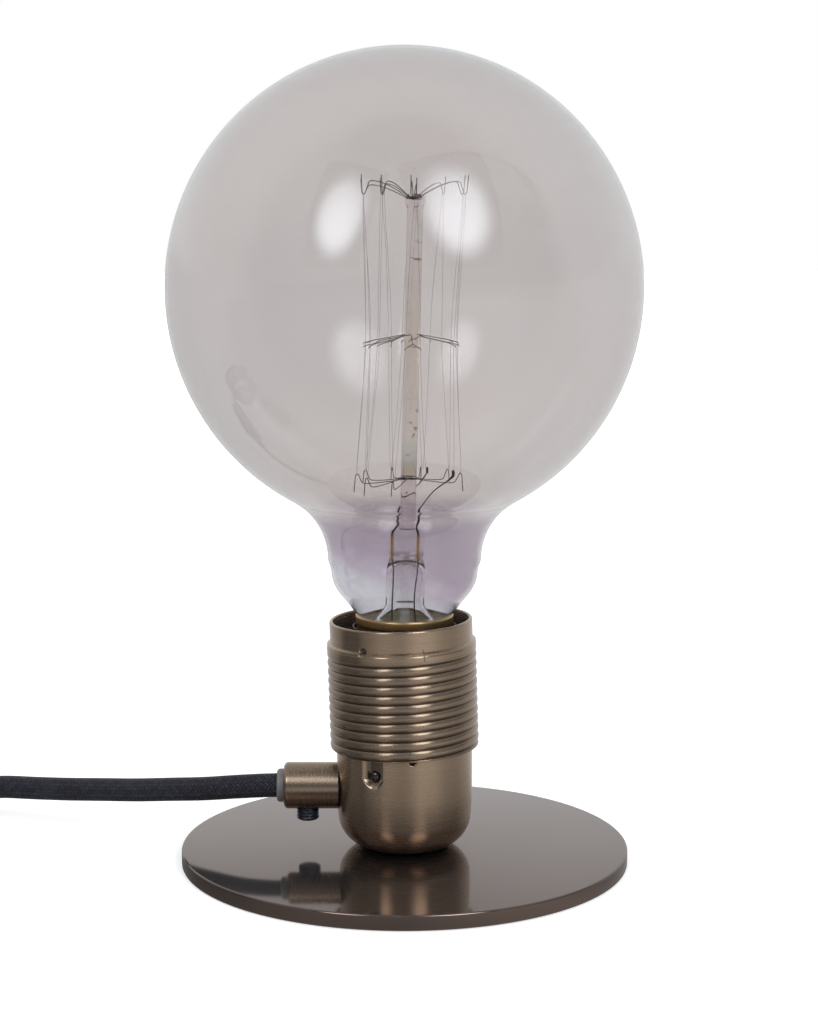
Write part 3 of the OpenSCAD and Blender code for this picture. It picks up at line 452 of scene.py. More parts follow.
def plain_metal(name, colour, roughness):
    """Metal for small parts."""
    return metal(name, colour, shade(colour, 0.7), roughness, 900, streak=0.6, spread=0.05, bump=1e-6)


def plastic(name, colour, roughness, grain=1500, bump=1.5e-5, coat=0.0):
    """Moulded plastic with a fine cast texture, or what looks like it."""
    look = Look(name, Base_Color=colour, Roughness=roughness, Coat_Weight=coat)
    fine = look.grain(grain, 2, 0.6)
    broad = look.grain(90, 3)
    tone = look.plus(look.times(fine, 0.4), look.times(broad, 0.6))
    look.paint(look.ramp(tone, (0.3, shade(colour, 0.75)), (0.75, colour)))
    look.drive("Roughness", look.line(broad, 0.16, roughness - 0.08))
    look.bump(fine, bump)
    return look.material


def wire_insulation(name, colour, stripe=None):
    """Coloured plastic round a core, with a second colour in stripes if one is given."""
    look = Look(name, Base_Color=colour, Roughness=0.42)
    where = look.xyz()
    if stripe:
        turns = look.wave(look.times(look.plus(where[2], where[1]), 1800.0))
        look.paint(look.ramp(turns, (0.45, colour), (0.55, stripe)))
    else:
        marks = look.grain(400, 2)
        look.paint(look.ramp(marks, (0.3, shade(colour, 0.8)), (0.7, colour)))
    return look.material


CARRIERS = 20  # strands that run each way round the braid
BRAID_PITCH = 1.05 * MM  # how far along the cord a strand moves over by one
YARNS = 2  # yarns side by side in a strand


def braid_height(turn, along):
    """Height of the braid's surface, 0 to 1. A strand passes over two of the other way and under two."""
    a = turn * CARRIERS + along / BRAID_PITCH
    b = turn * CARRIERS - along / BRAID_PITCH
    step = np.mod(np.floor(a) + np.floor(b), 4)
    over = step < 2
    across = np.where(over, a % 1, b % 1)
    way = np.where(over, step + b % 1, step - 2 + a % 1) / 2
    return np.sin(np.pi * across) ** 0.6 * (0.55 + 0.45 * np.sin(np.pi * np.clip(way, 0, 1)))


def braid(name):
    """Woven textile: the pattern of braid_height again, with yarns in the strands and a few lighter ones."""
    look = Look(name, Base_Color=(0.03, 0.032, 0.045), Roughness=0.75, Sheen_Weight=0.08,
                Sheen_Roughness=0.4)
    uv = look.split(look.node("ShaderNodeTexCoord").outputs["UV"])
    turn = look.times(uv[0], float(CARRIERS))
    along = look.math("DIVIDE", uv[1], BRAID_PITCH)
    a, b = look.plus(turn, along), look.math("SUBTRACT", turn, along)
    a_no, b_no = look.math("FLOOR", a), look.math("FLOOR", b)
    step = look.math("FLOORED_MODULO", look.plus(a_no, b_no), 4.0)
    under = look.math("GREATER_THAN", step, 1.5)
    a_part, b_part = look.math("FRACT", a), look.math("FRACT", b)

    def chosen(if_over, if_under):
        """Picks by which of the two crossing strands lies on top."""
        return look.line(under, look.math("SUBTRACT", if_under, if_over), if_over)

    across = chosen(a_part, b_part)
    way = chosen(look.plus(step, b_part), look.plus(look.math("SUBTRACT", step, 2.0), a_part))
    dome = look.wave(look.times(across, pi))
    swell = look.wave(look.times(way, pi / 2))
    height = look.times(dome, look.line(swell, 0.45, 0.55))
    yarn = look.math("ABSOLUTE", look.wave(look.times(across, YARNS * pi)))
    number = chosen(a_no, look.plus(b_no, 40.0))
    seed = look.node("ShaderNodeCombineXYZ", {0: number, 1: look.math("FLOOR", look.times(across, 3.0))})
    fleck = look.node("ShaderNodeTexWhiteNoise", {"Vector": seed.outputs[0]}).outputs["Value"]
    fuzz = look.grain(5000, 2)
    # Painted shade: the colour darkens between the yarns and where each strand dips under the others; the
    # flecks and fuzz are the yarns' own tones.
    tone = look.times(look.line(yarn, 0.5, 0.5), height)
    tone = look.times(tone, look.line(fleck, 0.7, 0.45))
    tone = look.plus(tone, look.line(fuzz, 0.3, -0.15))
    look.paint(look.ramp(tone, (0.1, (0.002, 0.002, 0.004)), (0.5, (0.015, 0.015, 0.026)),
                                       (0.9, (0.062, 0.062, 0.098))))
    rise = look.plus(look.times(yarn, 0.35), look.times(fuzz, 0.3))
    look.bump(look.plus(look.times(rise, height), height), 1.6e-4)
    return look.material


def tie_fabric(name):
    """Ribbed tape."""
    look = Look(name, Base_Color=(0.03, 0.03, 0.032), Roughness=0.85, Sheen_Weight=0.3, Sheen_Roughness=0.5)
    where = look.xyz()
    ribs = look.wave(look.times(where[1], 2 * pi / (0.9 * MM)))
    picks = look.wave(look.times(look.plus(where[0], where[2]), 2 * pi / (0.6 * MM)))
    weave = look.line(look.times(ribs, picks), 0.5, 0.5)
    # Painted shade: the colour follows the weave's height, darker in its dips.
    look.paint(look.ramp(weave, (0.1, (0.012, 0.012, 0.013)), (0.9, (0.06, 0.06, 0.065))))
    look.bump(weave, 1.5e-4)
    return look.material


NECK_LINE_Z = 97.5 * MM  # the smoky tint of the globe ends here
NECK_BLEND = 4 * MM
CLEAR_Z = 71.5 * MM  # and the violet tint of the neck here


def smoky_glass(name):
    """Clear glass with a warm smoky tint on the globe and a violet one in the neck, lower on one side."""
    look = Look(name, Roughness=0.0, IOR=1.47, Transmission_Weight=1.0)
    where = look.xyz()
    cloud = look.grain(14, 2)
    wander = look.line(look.grain(60, 1), 3 * MM, -1.5 * MM)
    height = look.plus(look.line(where[0], 0.4, where[2]), wander)
    share = look.smooth(height, CLEAR_Z, CLEAR_Z + 16 * MM)
    smoke = look.ramp(cloud, (0.3, (0.745, 0.71, 0.705)), (0.7, (0.73, 0.715, 0.71)))
    neck = look.ramp(share, (0.0, (0.74, 0.74, 0.77)), (0.45, (0.6, 0.54, 0.61)), (1.0, (0.585, 0.54, 0.59)))
    tint = look.blend(look.smooth(where[2], NECK_LINE_Z - NECK_BLEND, NECK_LINE_Z), neck, smoke)
    # Painted shade: the tint grows darker towards the globe's outline, where the glass faces away, darkest at
    # the very edge.
    facing = look.node("ShaderNodeLayerWeight", {"Blend": 0.5}).outputs["Facing"]
    rim = look.ramp(facing, (0.5, 1.0), (0.85, 0.86), (1.0, 0.55))
    look.paint(look.blend(1.0, tint, rim, "MULTIPLY"))
    return look.material


def stem_glass(name):
    """Clear glass, with brown specks where it was pressed flat."""
    look = Look(name, Roughness=0.02, IOR=1.14, Transmission_Weight=1.0)
    colour = (0.95, 0.95, 0.94)
    marks = look.grain((260, 260, 60), 2)
    tint = look.ramp(marks, (0.35, shade(colour, 0.9)), (0.65, colour))
    z = look.xyz()[2]
    pressed = look.band(z, 80.5 * MM, 82 * MM, 83.5 * MM, 86 * MM)
    specks = look.ramp(look.grain((420, 420, 1100), 2), (0.44, 0.0), (0.54, 0.85))
    look.paint(look.blend(look.times(specks, pressed), tint, (0.25, 0.17, 0.12)))
    return look.material


def thin_glass():
    """Clear tube seen through other glass."""
    return Look("thin_glass", Base_Color=(0.7, 0.7, 0.72), Roughness=0.05, Alpha=0.07).material


def rod_glass():
    """Drawn rod of pale glass: faint bands of colour along it, and a few brown specks."""
    look = Look("rod_glass", Roughness=0.08, IOR=1.25, Transmission_Weight=1.0)
    z = look.xyz()[2]
    share = look.node("ShaderNodeMapRange", {"Value": z, "From Min": 0.1, "From Max": 0.18}).outputs[0]
    bands = look.ramp(share, (0.03, (0.82, 0.77, 0.78)), (0.08, (0.62, 0.56, 0.47)),
                      (0.13, (0.66, 0.7, 0.66)), (0.2, (0.84, 0.79, 0.74)), (0.55, (0.8, 0.74, 0.66)),
                      (0.75, (0.86, 0.83, 0.81)))
    specks = look.ramp(look.grain(650, 1), (0.7, 0.0), (0.76, 1.0))
    look.paint(look.blend(specks, bands, (0.22, 0.13, 0.08)))
    return look.material


def lead_metal(name):
    """Dark nickel wire, with a stretch of copper where it is sealed in the pinch."""
    look = Look(name, Metallic=1.0, Base_Color=(0.12, 0.09, 0.1), Roughness=0.35)
    z = look.xyz()[2]
    sealed = look.band(z, 80.5 * MM, 83 * MM, 88.5 * MM, 91.2 * MM)
    marks = look.grain(900, 3)
    dark = look.ramp(marks, (0.3, (0.07, 0.05, 0.06)), (0.7, (0.15, 0.115, 0.13)))
    look.paint(look.blend(sealed, dark, (0.85, 0.55, 0.25)))
    return look.material


def translucent_nylon(name):
    """Grey nylon that lets a little light through."""
    look = Look(name, Base_Color=(0.2, 0.19, 0.19), Roughness=0.35, Transmission_Weight=0.25, IOR=1.5)
    marks = look.grain((500, 200, 200), 2)
    look.paint(look.ramp(marks, (0.3, (0.16, 0.15, 0.15)), (0.7, (0.24, 0.23, 0.23))))
    return look.material


FINISHES = [
    ("dark_bronze_polished", polished_disc),
    ("antique_bronze", antique_bronze, (8, 8, 3000), "Z"),
    ("pad_felt", plastic, (0.03, 0.03, 0.03), 0.8, 800, 1e-4),
    ("zinc_steel", plain_metal, (0.6, 0.6, 0.58), 0.3),
    ("black_steel", plain_metal, (0.05, 0.045, 0.045), 0.25),
    ("tinned_brass", plain_metal, (0.66, 0.65, 0.6), 0.25),
    ("porcelain", plastic, (0.75, 0.72, 0.66), 0.2, 300, 5e-6, 0.6),
    ("contact_brass", plain_metal, (0.6, 0.45, 0.22), 0.25),
    ("core_brown", wire_insulation, (0.12, 0.04, 0.02)),
    ("core_blue", wire_insulation, (0.03, 0.12, 0.4)),
    ("core_green", wire_insulation, (0.1, 0.3, 0.03), (0.7, 0.6, 0.05)),
    ("bush_nylon", translucent_nylon),
    ("black_nylon", plastic, (0.014, 0.014, 0.028), 0.3),
    ("bulb_glass", smoky_glass),
    ("stem_glass", stem_glass),
    ("black_glass", plastic, (0.01, 0.01, 0.01), 0.12, 400, 2e-6),
    ("cap_brass", metal, (0.58, 0.47, 0.24), (0.52, 0.32, 0.14), 0.34, 40),
    ("cement", plastic, (0.72, 0.6, 0.36), 0.9, 2500, 5e-5),
    ("solder", plain_metal, (0.5, 0.5, 0.5), 0.4),
    ("wire_dark", plain_metal, (0.2, 0.18, 0.17), 0.4),
    ("lead_wire", lead_metal),
    ("filament_wire", plastic, (0.26, 0.235, 0.225), 0.7, 6000, 1e-6),
    ("braided_cord", braid),
    ("tie_fabric", tie_fabric),
    ("black_plastic", plastic, (0.022, 0.022, 0.024), 0.42),
    ("rocker_plastic", plastic, (0.016, 0.016, 0.017), 0.2, 900, 3e-6),
    ("plug_rubber", plastic, (0.024, 0.024, 0.026), 0.5),
    ("nickel_plate", plain_metal, (0.66, 0.64, 0.6), 0.16),
]
LOOKS = {name: make(name, *values) for name, make, *values in FINISHES}
OWN_LOOK = {
    "exhaust_tube": thin_glass(),
    # Painted shade: the sleeve's brass gets a near-black colour, for the shade deep inside the shell.
    "screw_sleeve": plain_metal("sleeve_brass_painted_dark", (0.16, 0.12, 0.09), 0.45),
}
for node, piece in frame["nodes"].items():
    wear(piece, OWN_LOOK.get(node) or LOOKS[SLOT[node]])
    soften(piece.data, 32)


# ---- camera ----

def make_camera():
    data = bpy.data.cameras.new("camera")
    data.sensor_width = 36
    data.lens = FOCAL_PX / PHOTO_H * data.sensor_width
    data.clip_start = 0.05
    camera = bpy.data.objects.new("camera", data)
    camera.location = CAMERA_AT
    camera.rotation_euler = (radians(90 - CAMERA_DOWN), 0, 0)
    bpy.context.scene.collection.objects.link(camera)
    bpy.context.scene.camera = camera


make_camera()


# ---- cord ----

CORD_D = 6.5 * MM
OUTLET_Z = 20.4 * MM
LEAD_ROUTE = [
    (-10, 0, 20.4), (-22, 0, 20.4), (-35, 0, 20.4), (-45, 1, 19.7), (-55, 4.6, 18.1),
    (-65, 10, 16.4), (-75, 15.8, 14.6), (-85, 21.2, 13.2), (-95, 25.8, 12), (-105, 30.4, 11),
    (-116, 34.6, 10.2), (-125, 37.2, 8.6), (-133, 38, 7.5), (-141, 38, 7.5), (-150, 38, 7.5),
]
LINK_ROUTE = [
    (-202, 38, 7.5), (-210, 38, 7.5), (-218, 38, 7.5), (-225, 38, 6.9), (-232, 38, 5.1),
    (-238, 38, 3.7), (-241, 38, 3.25), (-243.5, 38, 3.25),
]
TAIL_ROUTE = [
    (-243.5, -48.8, 24.55), (-241, -48.8, 24.55), (-233, -48.8, 24.1), (-224, -48.8, 22.4),
    (-215, -48.8, 20.3), (-207, -48.8, 19), (-201, -48.8, 18.75), (-192, -48.8, 18.75),
]
COIL_R = 43.4
COIL_AT = (-250, -5.4, 3.25)
COIL_STEP = 7.4
COIL_RISE = 7.1
COIL_TURNS = 6.5
COIL_LAYERS = 4
LAYER_TURNS = COIL_TURNS / COIL_LAYERS
TURN_BACK = 0.25  # turns on each side of a reversal
TIE_T = 1


def wound_in(u):
    """Turns in from the widest one, u turns along. The spiral runs in and out, rounded off where it turns."""
    m = u % (2 * LAYER_TURNS)
    f = min(m, 2 * LAYER_TURNS - m)
    g = LAYER_TURNS - f
    if u < TURN_BACK or u > COIL_TURNS - TURN_BACK:
        return f
    if f < TURN_BACK:
        return (f * f + TURN_BACK ** 2) / (2 * TURN_BACK)
    if g < TURN_BACK:
        return LAYER_TURNS - (g * g + TURN_BACK ** 2) / (2 * TURN_BACK)
    return f


def climbed(u):
    """Layers climbed, each in the half turn where the spiral reverses."""
    return sum(ease((u - k * LAYER_TURNS) / (2 * TURN_BACK) + 0.5) for k in range(1, COIL_LAYERS))


def coil_path(steps=72):
    """The coil's turns, lifted a little where they pass over the tie's strap."""
    points = [(COIL_AT[0] + CORD_D / MM, COIL_AT[1] + COIL_R, COIL_AT[2])]
    for k in range(int(COIL_TURNS * steps) + 1):
        u = k / steps
        off = abs(angle_from(90 + 360 * u, 0))
        r = COIL_R - COIL_STEP * wound_in(u)
        lift = (TIE_T + 0.3) * ease((50 - off) / 30)
        at = polar(r, 90 + 360 * u, COIL_RISE * climbed(u) + lift)
        points.append(tuple(at + Vector(COIL_AT)))
    points.append((COIL_AT[0] + CORD_D / MM, COIL_AT[1] - COIL_R, COIL_AT[2] + 3 * COIL_RISE))
    return np.array(points)


def braided(name, path, sides, step):
    """Cord whose braid stands out a little, so that its outline is woven too."""
    relief = 0.1 * MM
    path = spaced(path, step)
    return tube(name, path, CORD_D / 2 - relief, sides,
                lambda turn, along: relief * braid_height(turn, along)), path


def route(points, steps):
    return smooth_path([Vector(p) * MM for p in points], steps)


def make_cords():
    """The cord from the lamp to the switch, and from there through the coil to the plug."""
    lead, lead_path = braided("cord_to_switch", route(LEAD_ROUTE, 12), 72, 0.35 * MM)
    stands_for(lead, "cord_lamp_lead")
    link, tail = route(LINK_ROUTE, 6), route(TAIL_ROUTE, 6)
    whole = np.concatenate([link[:-1], coil_path()[1:-1] * MM, tail[1:]])
    rest, whole = braided("cord_to_plug", whole, 40, 0.8 * MM)
    stands_for(rest, "cord_coil", "cord_link", "cord_tail")


make_cords()


# ---- base ----

def make_disc():
    """Disc with a narrow bevel, hollowed out a little for its pad."""
    low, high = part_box("base_disc")
    r, bevel, pad_r = high.x, 0.55 * MM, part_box("base_pad")[1].x + 0.4 * MM
    outline = rounded([
        (0, MM, 0), (pad_r, MM, 0), (pad_r, low.z, 0.2 * MM), (r, low.z, 0.3 * MM), (r, high.z, bevel),
        (0, high.z, 0),
    ], 7)
    stands_for(lathe("base_plate", outline, 320), "base_disc")


make_disc()


# ---- lampholder ----

POCKET_A = -118  # where the lock screw's pocket is, round the cup
NOTCH_A = -83
CUP_WALL = 1 * MM


def make_cup():
    """Drawn cup with a pressed pocket for the lock screw, and a small notch under the shell's edge."""
    low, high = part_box("lampholder_cup")
    shell_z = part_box("lampholder_shell")[0].z
    r, corner = high.x, 9 * MM
    screw_low, screw_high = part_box("shell_lock_screw")
    screw_z = (screw_low.z + screw_high.z) / 2
    half_w, depth, notch_depth = 3.2 * MM, 1.9 * MM, 0.9 * MM
    foot_z, foot_h = screw_z - 3.6 * MM, 3.2 * MM
    left_slope, right_slope = 1.8 * MM, 0.45 * MM
    taper, taper_h = 0.3 * MM, 8 * MM
    tilt = 2 * taper / taper_h
    wall_foot = low.z + corner - corner * sin(tilt)

    def notch(a, radius, z):
        """1 in the middle of the notch, 0 outside it."""
        off = hypot(radius * radians(angle_from(a, NOTCH_A)), z - shell_z + 0.2 * MM)
        return 1 - ease((off - 0.4 * MM) / (0.8 * MM))

    def pocket(a, radius, z):
        """Depth of the notch and the pocket: a sloped left flank, a steep right one and a tapering foot."""
        if z < low.z + corner or radius < r - CUP_WALL - depth:
            return 0
        across = radius * radians(angle_from(a, POCKET_A))
        foot = ease((z - foot_z) / foot_h)
        left = ease((across + half_w * mix(0.35, 1.0, foot)) / left_slope)
        right = ease((half_w * mix(0.5, 1.0, foot) - across) / right_slope)
        return depth * left * right * foot + notch_depth * notch(a, radius, z)

    def wall_r(z):
        """The wall draws in a little above its rounded foot."""
        return r - taper * max(0.0, (wall_foot + taper_h - z) / taper_h) ** 2

    def painted_shade(p):
        """Painted shade: dark in the pocket and the notch, and darker towards the cup's rounded foot by the
        disc.
        """
        pressed = ease(1.8 * pocket(degrees(atan2(p.y, p.x)), r, p.z) / depth - 0.3)
        return pressed + 0.3 * ease((low.z + 11 * MM - p.z) / (5 * MM))

    wall_zs = series(wall_foot, high.z, 112)[1:]
    outer = [(0, low.z)]
    outer += arc((r - taper - corner * cos(tilt), low.z + corner), corner, -90, -degrees(tilt), 26)
    outer += [(wall_r(z), z) for z in wall_zs]
    inner_r, inner_corner = r - CUP_WALL, corner - CUP_WALL
    inner = [(inner_r, z) for z in reversed(wall_zs)]
    inner += arc((inner_r - inner_corner, low.z + corner), inner_corner, 0, -90, 16) + [(0, low.z + CUP_WALL)]
    angles = spread_angles(176, [(POCKET_A, 13), (NOTCH_A, 6)])
    cup = lathe("socket_cup", outer + inner, angles=angles, push=pocket, sharp=60)
    store_painted_shade(cup, painted_shade)
    stands_for(cup, "lampholder_cup")
    make_lock_screw(screw_z, r - depth)


def make_lock_screw(z, seat):
    """Small domed screw, deep in the cup's pocket."""
    dome = [(1.5 * MM * x, 0.35 * MM + 0.85 * MM * y) for x, y in arc((0, 0), 1, 0, 75, 5)]
    outline = [(0, -2 * MM), (MM, -2 * MM), (MM, 0), (1.5 * MM, 0)] + dome + [(0, 1.2 * MM)]
    face_on = Matrix.Rotation(radians(POCKET_A), 4, "Z") @ Matrix.Translation((seat, 0, z))
    face_on = face_on @ Matrix.Rotation(radians(90), 4, "Y")
    screw = lathe("lock_screw", outline, 48, face_on)
    slot = add_box("slot", (0.4 * MM, 4 * MM, 1.2 * MM))
    slot.data.transform(face_on @ Matrix.Translation((0, 0, 1.3 * MM)) @ Matrix.Rotation(radians(35), 4, "Z"))
    look = plain_metal("screw_bronze", (0.12, 0.1, 0.09), 0.22)
    stands_for(cut(screw, slot), "shell_lock_screw", look=look)


def spread_angles(count, spots):
    """Angles round a turn, finer inside each spot (angle, half width)."""
    step, finer = 360 / count, 4
    angles = []
    for k in range(count):
        a = k * step
        near = any(abs(angle_from(a, spot)) < half for spot, half in spots)
        angles += [a + step * i / finer for i in range(finer)] if near else [a]
    return angles


THREAD_PITCH = 2.5 * MM
THREAD_DEPTH = 0.55 * MM
GROOVE_ROWS = [0, 0.04, 0.1, 0.18, 0.28, 0.4, 0.5, 0.6, 0.72, 0.82, 0.9, 0.96]  # from one groove to the next
SHELL_LEAN = radians(1.8)


def ring_grid(angles, rows, inner, radius, climb=0, climbing=0):
    """Tube round Z. Outside it has radius(a, z) at the heights rows(a), and inside the outline inner, from
    the top down. The lowest rows, climbing of them, have climbed by climb rows after a whole turn."""
    columns, outside = len(angles), len(rows(0))
    count = outside + len(inner)
    points = []
    for a in angles:
        points += [polar(radius(a, z), a, z) for z in rows(a)] + [polar(r, a, z) for r, z in inner]

    def index(i, j):
        """Number of point j in column i, where the last column's neighbour is the first one."""
        j %= count
        if i < columns:
            return i * count + j
        return min(j + climb, climbing - 1) if j < climbing else j

    faces = []
    for i in range(columns):
        for j in range(count):
            face = [index(i, j), index(i + 1, j), index(i + 1, j + 1), index(i, j + 1)]
            face = [q for n, q in enumerate(face) if q != face[n - 1]]
            if len(face) > 2:
                faces.append(face)
        if i == columns - 1 and climb:
            faces.append([i * count, index(columns, 0), *range(climb - 1, -1, -1)])
    return points, faces


def make_shell():
    """Shell with its outside thread: wide round ridges and narrow grooves that run out under a plain band."""
    low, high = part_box("lampholder_shell")
    r = high.x
    collar_h, collar_r = 5.7 * MM, 19.2 * MM
    band_z = high.z - collar_h
    thread_top = band_z - 2.3 * MM
    stake_a, stake_z, seam_a = -121.7, band_z + 0.15 * MM, -72.4
    rim_r = 0.5 * MM
    first_groove = thread_top - 1.4 * MM

    def groove(a, z):
        """Depth of the thread, which runs out at its top."""
        turn = (z - first_groove) / THREAD_PITCH - (a + 90) / 360
        off = abs(turn - round(turn))
        fade = ease((thread_top - z) / (1.3 * MM))
        return THREAD_DEPTH * fade * (1 - sin(pi * off) ** 0.6)

    def around(a, other):
        """How far the angle a is from another, along the surface."""
        return abs(r * radians(angle_from(a, other)))

    def punched(a, z):
        """1 in the middle of the stake that locks the shell's liner, 0 outside it."""
        off = hypot(around(a, stake_a), (z - stake_z) * 1.1)
        return 1 - ease((off - 0.65 * MM) / (0.65 * MM))

    # Painted shade: over the whole thread, strongest in the grooves, and in the stake's dimple; none in the
    # bore.
    def painted_shade(p):
        a = degrees(atan2(p.y, p.x))
        if p.xy.length < bore:
            return 0
        return mix(0.25, 1, groove(a, p.z) / THREAD_DEPTH) if p.z < thread_top else punched(a, p.z)

    def outside(a, z):
        if z < thread_top:
            edge = max(0.0, low.z + 0.5 * MM - z)
            return r - groove(a, z) - edge ** 2 / (1.2 * MM)
        step = ease((z - band_z + 0.5 * MM) / (0.6 * MM))
        top = max(0.0, z - high.z + rim_r)
        body = mix(r, collar_r, step) - (rim_r - sqrt(max(0.0, rim_r ** 2 - top ** 2)))
        bead = 0.16 * MM * exp(-((z - band_z + 0.75 * MM) / (0.25 * MM)) ** 2)
        stake = 0.8 * MM * punched(a, z)
        seam = 0.12 * MM * (around(a, seam_a) < 0.1 * MM and z < band_z + 0.8 * MM)
        return body - bead - max(stake, seam)

    above = series(thread_top, high.z - rim_r, 48)
    above += [z for _, z in arc((0, high.z - rim_r), rim_r, 15, 90, 5)]
    turns = ceil((thread_top - low.z) / THREAD_PITCH) + 2

    def rows(a):
        """Heights of the points at angle a: they follow the helix, with one in the bottom of each groove."""
        lowest = first_groove + THREAD_PITCH * ((a + 90) / 360 - turns)
        thread = [lowest + THREAD_PITCH * (k + part) for k in range(turns + 1) for part in GROOVE_ROWS]
        return [min(max(z, low.z), thread_top) for z in thread] + above

    bore = collar_r - 0.9 * MM
    cup_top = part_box("lampholder_cup")[1]
    ledge_z, spigot = cup_top.z + 2.6 * MM, cup_top.x + 0.12 * MM
    inner = arc((bore + 0.3 * MM, high.z - 0.3 * MM), 0.3 * MM, 90, 180, 4)
    inner += [(bore, z) for z in series(high.z - 0.3 * MM, ledge_z + 3 * MM, 12)[1:]]
    inner += [(bore - MM, ledge_z + 2.2 * MM), (bore - MM, ledge_z), (spigot, ledge_z), (spigot, low.z)]
    angles = spread_angles(240, [(stake_a, 9), (seam_a, 2)])
    climb = len(GROOVE_ROWS)
    shell = welded("socket_shell", *ring_grid(angles, rows, inner, outside, climb, (turns + 1) * climb))
    store_painted_shade(shell, painted_shade)
    foot = Matrix.Translation((0, 0, low.z + 2 * MM))
    shell.data.transform(foot @ Matrix.Rotation(-SHELL_LEAN, 4, "Y") @ foot.inverted())
    stands_for(shell, "lampholder_shell")


def store_painted_shade(piece, depth):
    """Stores the painted shade of each point, from 0 to 1, for the material: recesses are painted darker."""
    attribute = piece.data.attributes.new("painted_shade", "FLOAT", "POINT")
    attribute.data.foreach_set("value", [depth(v.co) for v in piece.data.vertices])


def welded(name, points, faces):
    """Mesh without doubled points and the empty faces between them."""
    piece = add_mesh(name, points, faces)
    work = bmesh.new()
    work.from_mesh(piece.data)
    bmesh.ops.remove_doubles(work, verts=work.verts, dist=1e-7)
    bmesh.ops.dissolve_degenerate(work, dist=1e-7, edges=work.edges)
    bmesh.ops.recalc_face_normals(work, faces=work.faces)
    work.to_mesh(piece.data)
    work.free()
    soften(piece.data, 40)
    return piece


make_cup()
make_shell()


# ---- cord outlet ----

def along_outlet():
    """Turns what is made along +Z to lie along -X on the outlet's axis."""
    return Matrix.Translation((0, 0, OUTLET_Z)) @ Matrix.Rotation(radians(-90), 4, "Y")


def make_outlet():
    """Tube screwed into the cup, and the nylon bush in its end."""
    low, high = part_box("cord_outlet_tube")
    bush_low, bush_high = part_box("cord_outlet_bush")
    r, end = (high.z - low.z) / 2, -low.x
    bush_r = (bush_high.z - bush_low.z) / 2
    start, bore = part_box("lampholder_cup")[1].x - 0.4 * MM, bush_r + 0.03 * MM
    outline = [(bore, start, 0), (r, start, 0), (r, end, 1.2 * MM), (bore, end, 0.3 * MM)]
    # Painted shade: the outlet wears a darker copy of the cup's bronze, at 0.8 of its tone.
    look = antique_bronze("outlet_bronze_shaded", (1500, 2, 2), "X", 0.8, 2.2, 6e-6)
    stands_for(lathe("outlet_tube", rounded(outline, 8), 128, along_outlet()), "cord_outlet_tube", look=look)
    hole, start, end = CORD_D / 2 + 0.1 * MM, -bush_high.x, -bush_low.x
    outline = [(hole, start, 0), (bush_r, start, 0), (bush_r, end, 0.8 * MM), (hole, end, 0.5 * MM)]
    stands_for(lathe("outlet_bush", rounded(outline, 6), 96, along_outlet()), "cord_outlet_bush")
    make_grip_screw()


def make_grip_screw():
    """Threaded nylon screw, with a rounded foot and a slot."""
    low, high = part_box("cord_grip_screw")
    x, r = (low.x + high.x) / 2, (high.x - low.x) / 2
    pitch = 0.8 * MM

    def thread(a, radius, z):
        turn = z / pitch - a / 360
        fade = ease((z - low.z - 0.7 * MM) / (0.5 * MM))
        return 0.35 * MM * fade * (1 - abs(2 * (turn % 1) - 1)) if radius > r * 0.9 else 0

    wall = [(r, z) for z in series(low.z + MM, high.z, 60)]
    outline = [(0, low.z)] + arc((r - MM, low.z + MM), MM, -90, -15, 5) + wall + [(0, high.z)]
    screw = lathe("grip_screw", outline, 64, Matrix.Translation((x, 0, 0)), thread)
    slot = add_box("slot", (4 * r, 0.9 * MM, 2.2 * MM))
    slot.data.transform(Matrix.Translation((x, 0, low.z)))
    stands_for(cut(screw, slot), "cord_grip_screw")


make_outlet()


# ---- bulb ----

LAMP_PITCH = 3.629 * MM  # seven turns to the inch
LAMP_AMP = 0.45 * MM
CAP_R = 12.65 * MM  # the middle of its thread
GLOBE_STRETCH = 1.006  # the globe's height to its width


def make_glass():
    """Globe, neck and foot of the glass, inside and out."""
    low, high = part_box("bulb_glass")
    r, stretch = high.x, GLOBE_STRETCH
    middle = high.z - stretch * r
    wall, neck_r, fillet = 0.8 * MM, 20.5 * MM, 18.4 * MM
    foot_r, turn_r, tail_r, rim_r = neck_r - 0.9 * MM, 10 * MM, 12.4 * MM, 13.1 * MM
    cap_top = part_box("bulb_screw_cap")[1].z
    slant = radians(38)  # of the foot's cone, from upright
    rim_z = cap_top - 0.7 * MM
    turn_z = rim_z + (foot_r - turn_r * (1 - cos(slant)) - rim_r) / tan(slant) + turn_r * sin(slant)
    fillet_z = middle - stretch * sqrt((r + fillet) ** 2 - (neck_r + fillet) ** 2)
    meet = degrees(atan2(middle - fillet_z, stretch * (neck_r + fillet)))

    def outline(t):
        """The glass's line, this far inside its outer one."""
        globe = [(x, middle + stretch * y) for x, y in arc((0, 0), r - t, 90, -meet, 110)]
        bend = arc((neck_r + fillet, fillet_z), fillet + t, 180 - meet, 180, 26)[1:]
        foot = arc((foot_r - turn_r, turn_z), turn_r - t, 0, -degrees(slant), 12)
        foot.append((rim_r - t * cos(slant), rim_z + t * sin(slant)))
        tail = [(tail_r - t, cap_top - 1.3 * MM), (tail_r - t, low.z)]
        return [(max(x, 0), y) for x, y in globe] + bend + foot + tail

    outer, inner = outline(0), outline(wall)
    globe = lathe("globe", list(reversed(outer)) + inner, 256, sharp=70)
    globe.visible_shadow = False
    stands_for(globe, "bulb_glass")


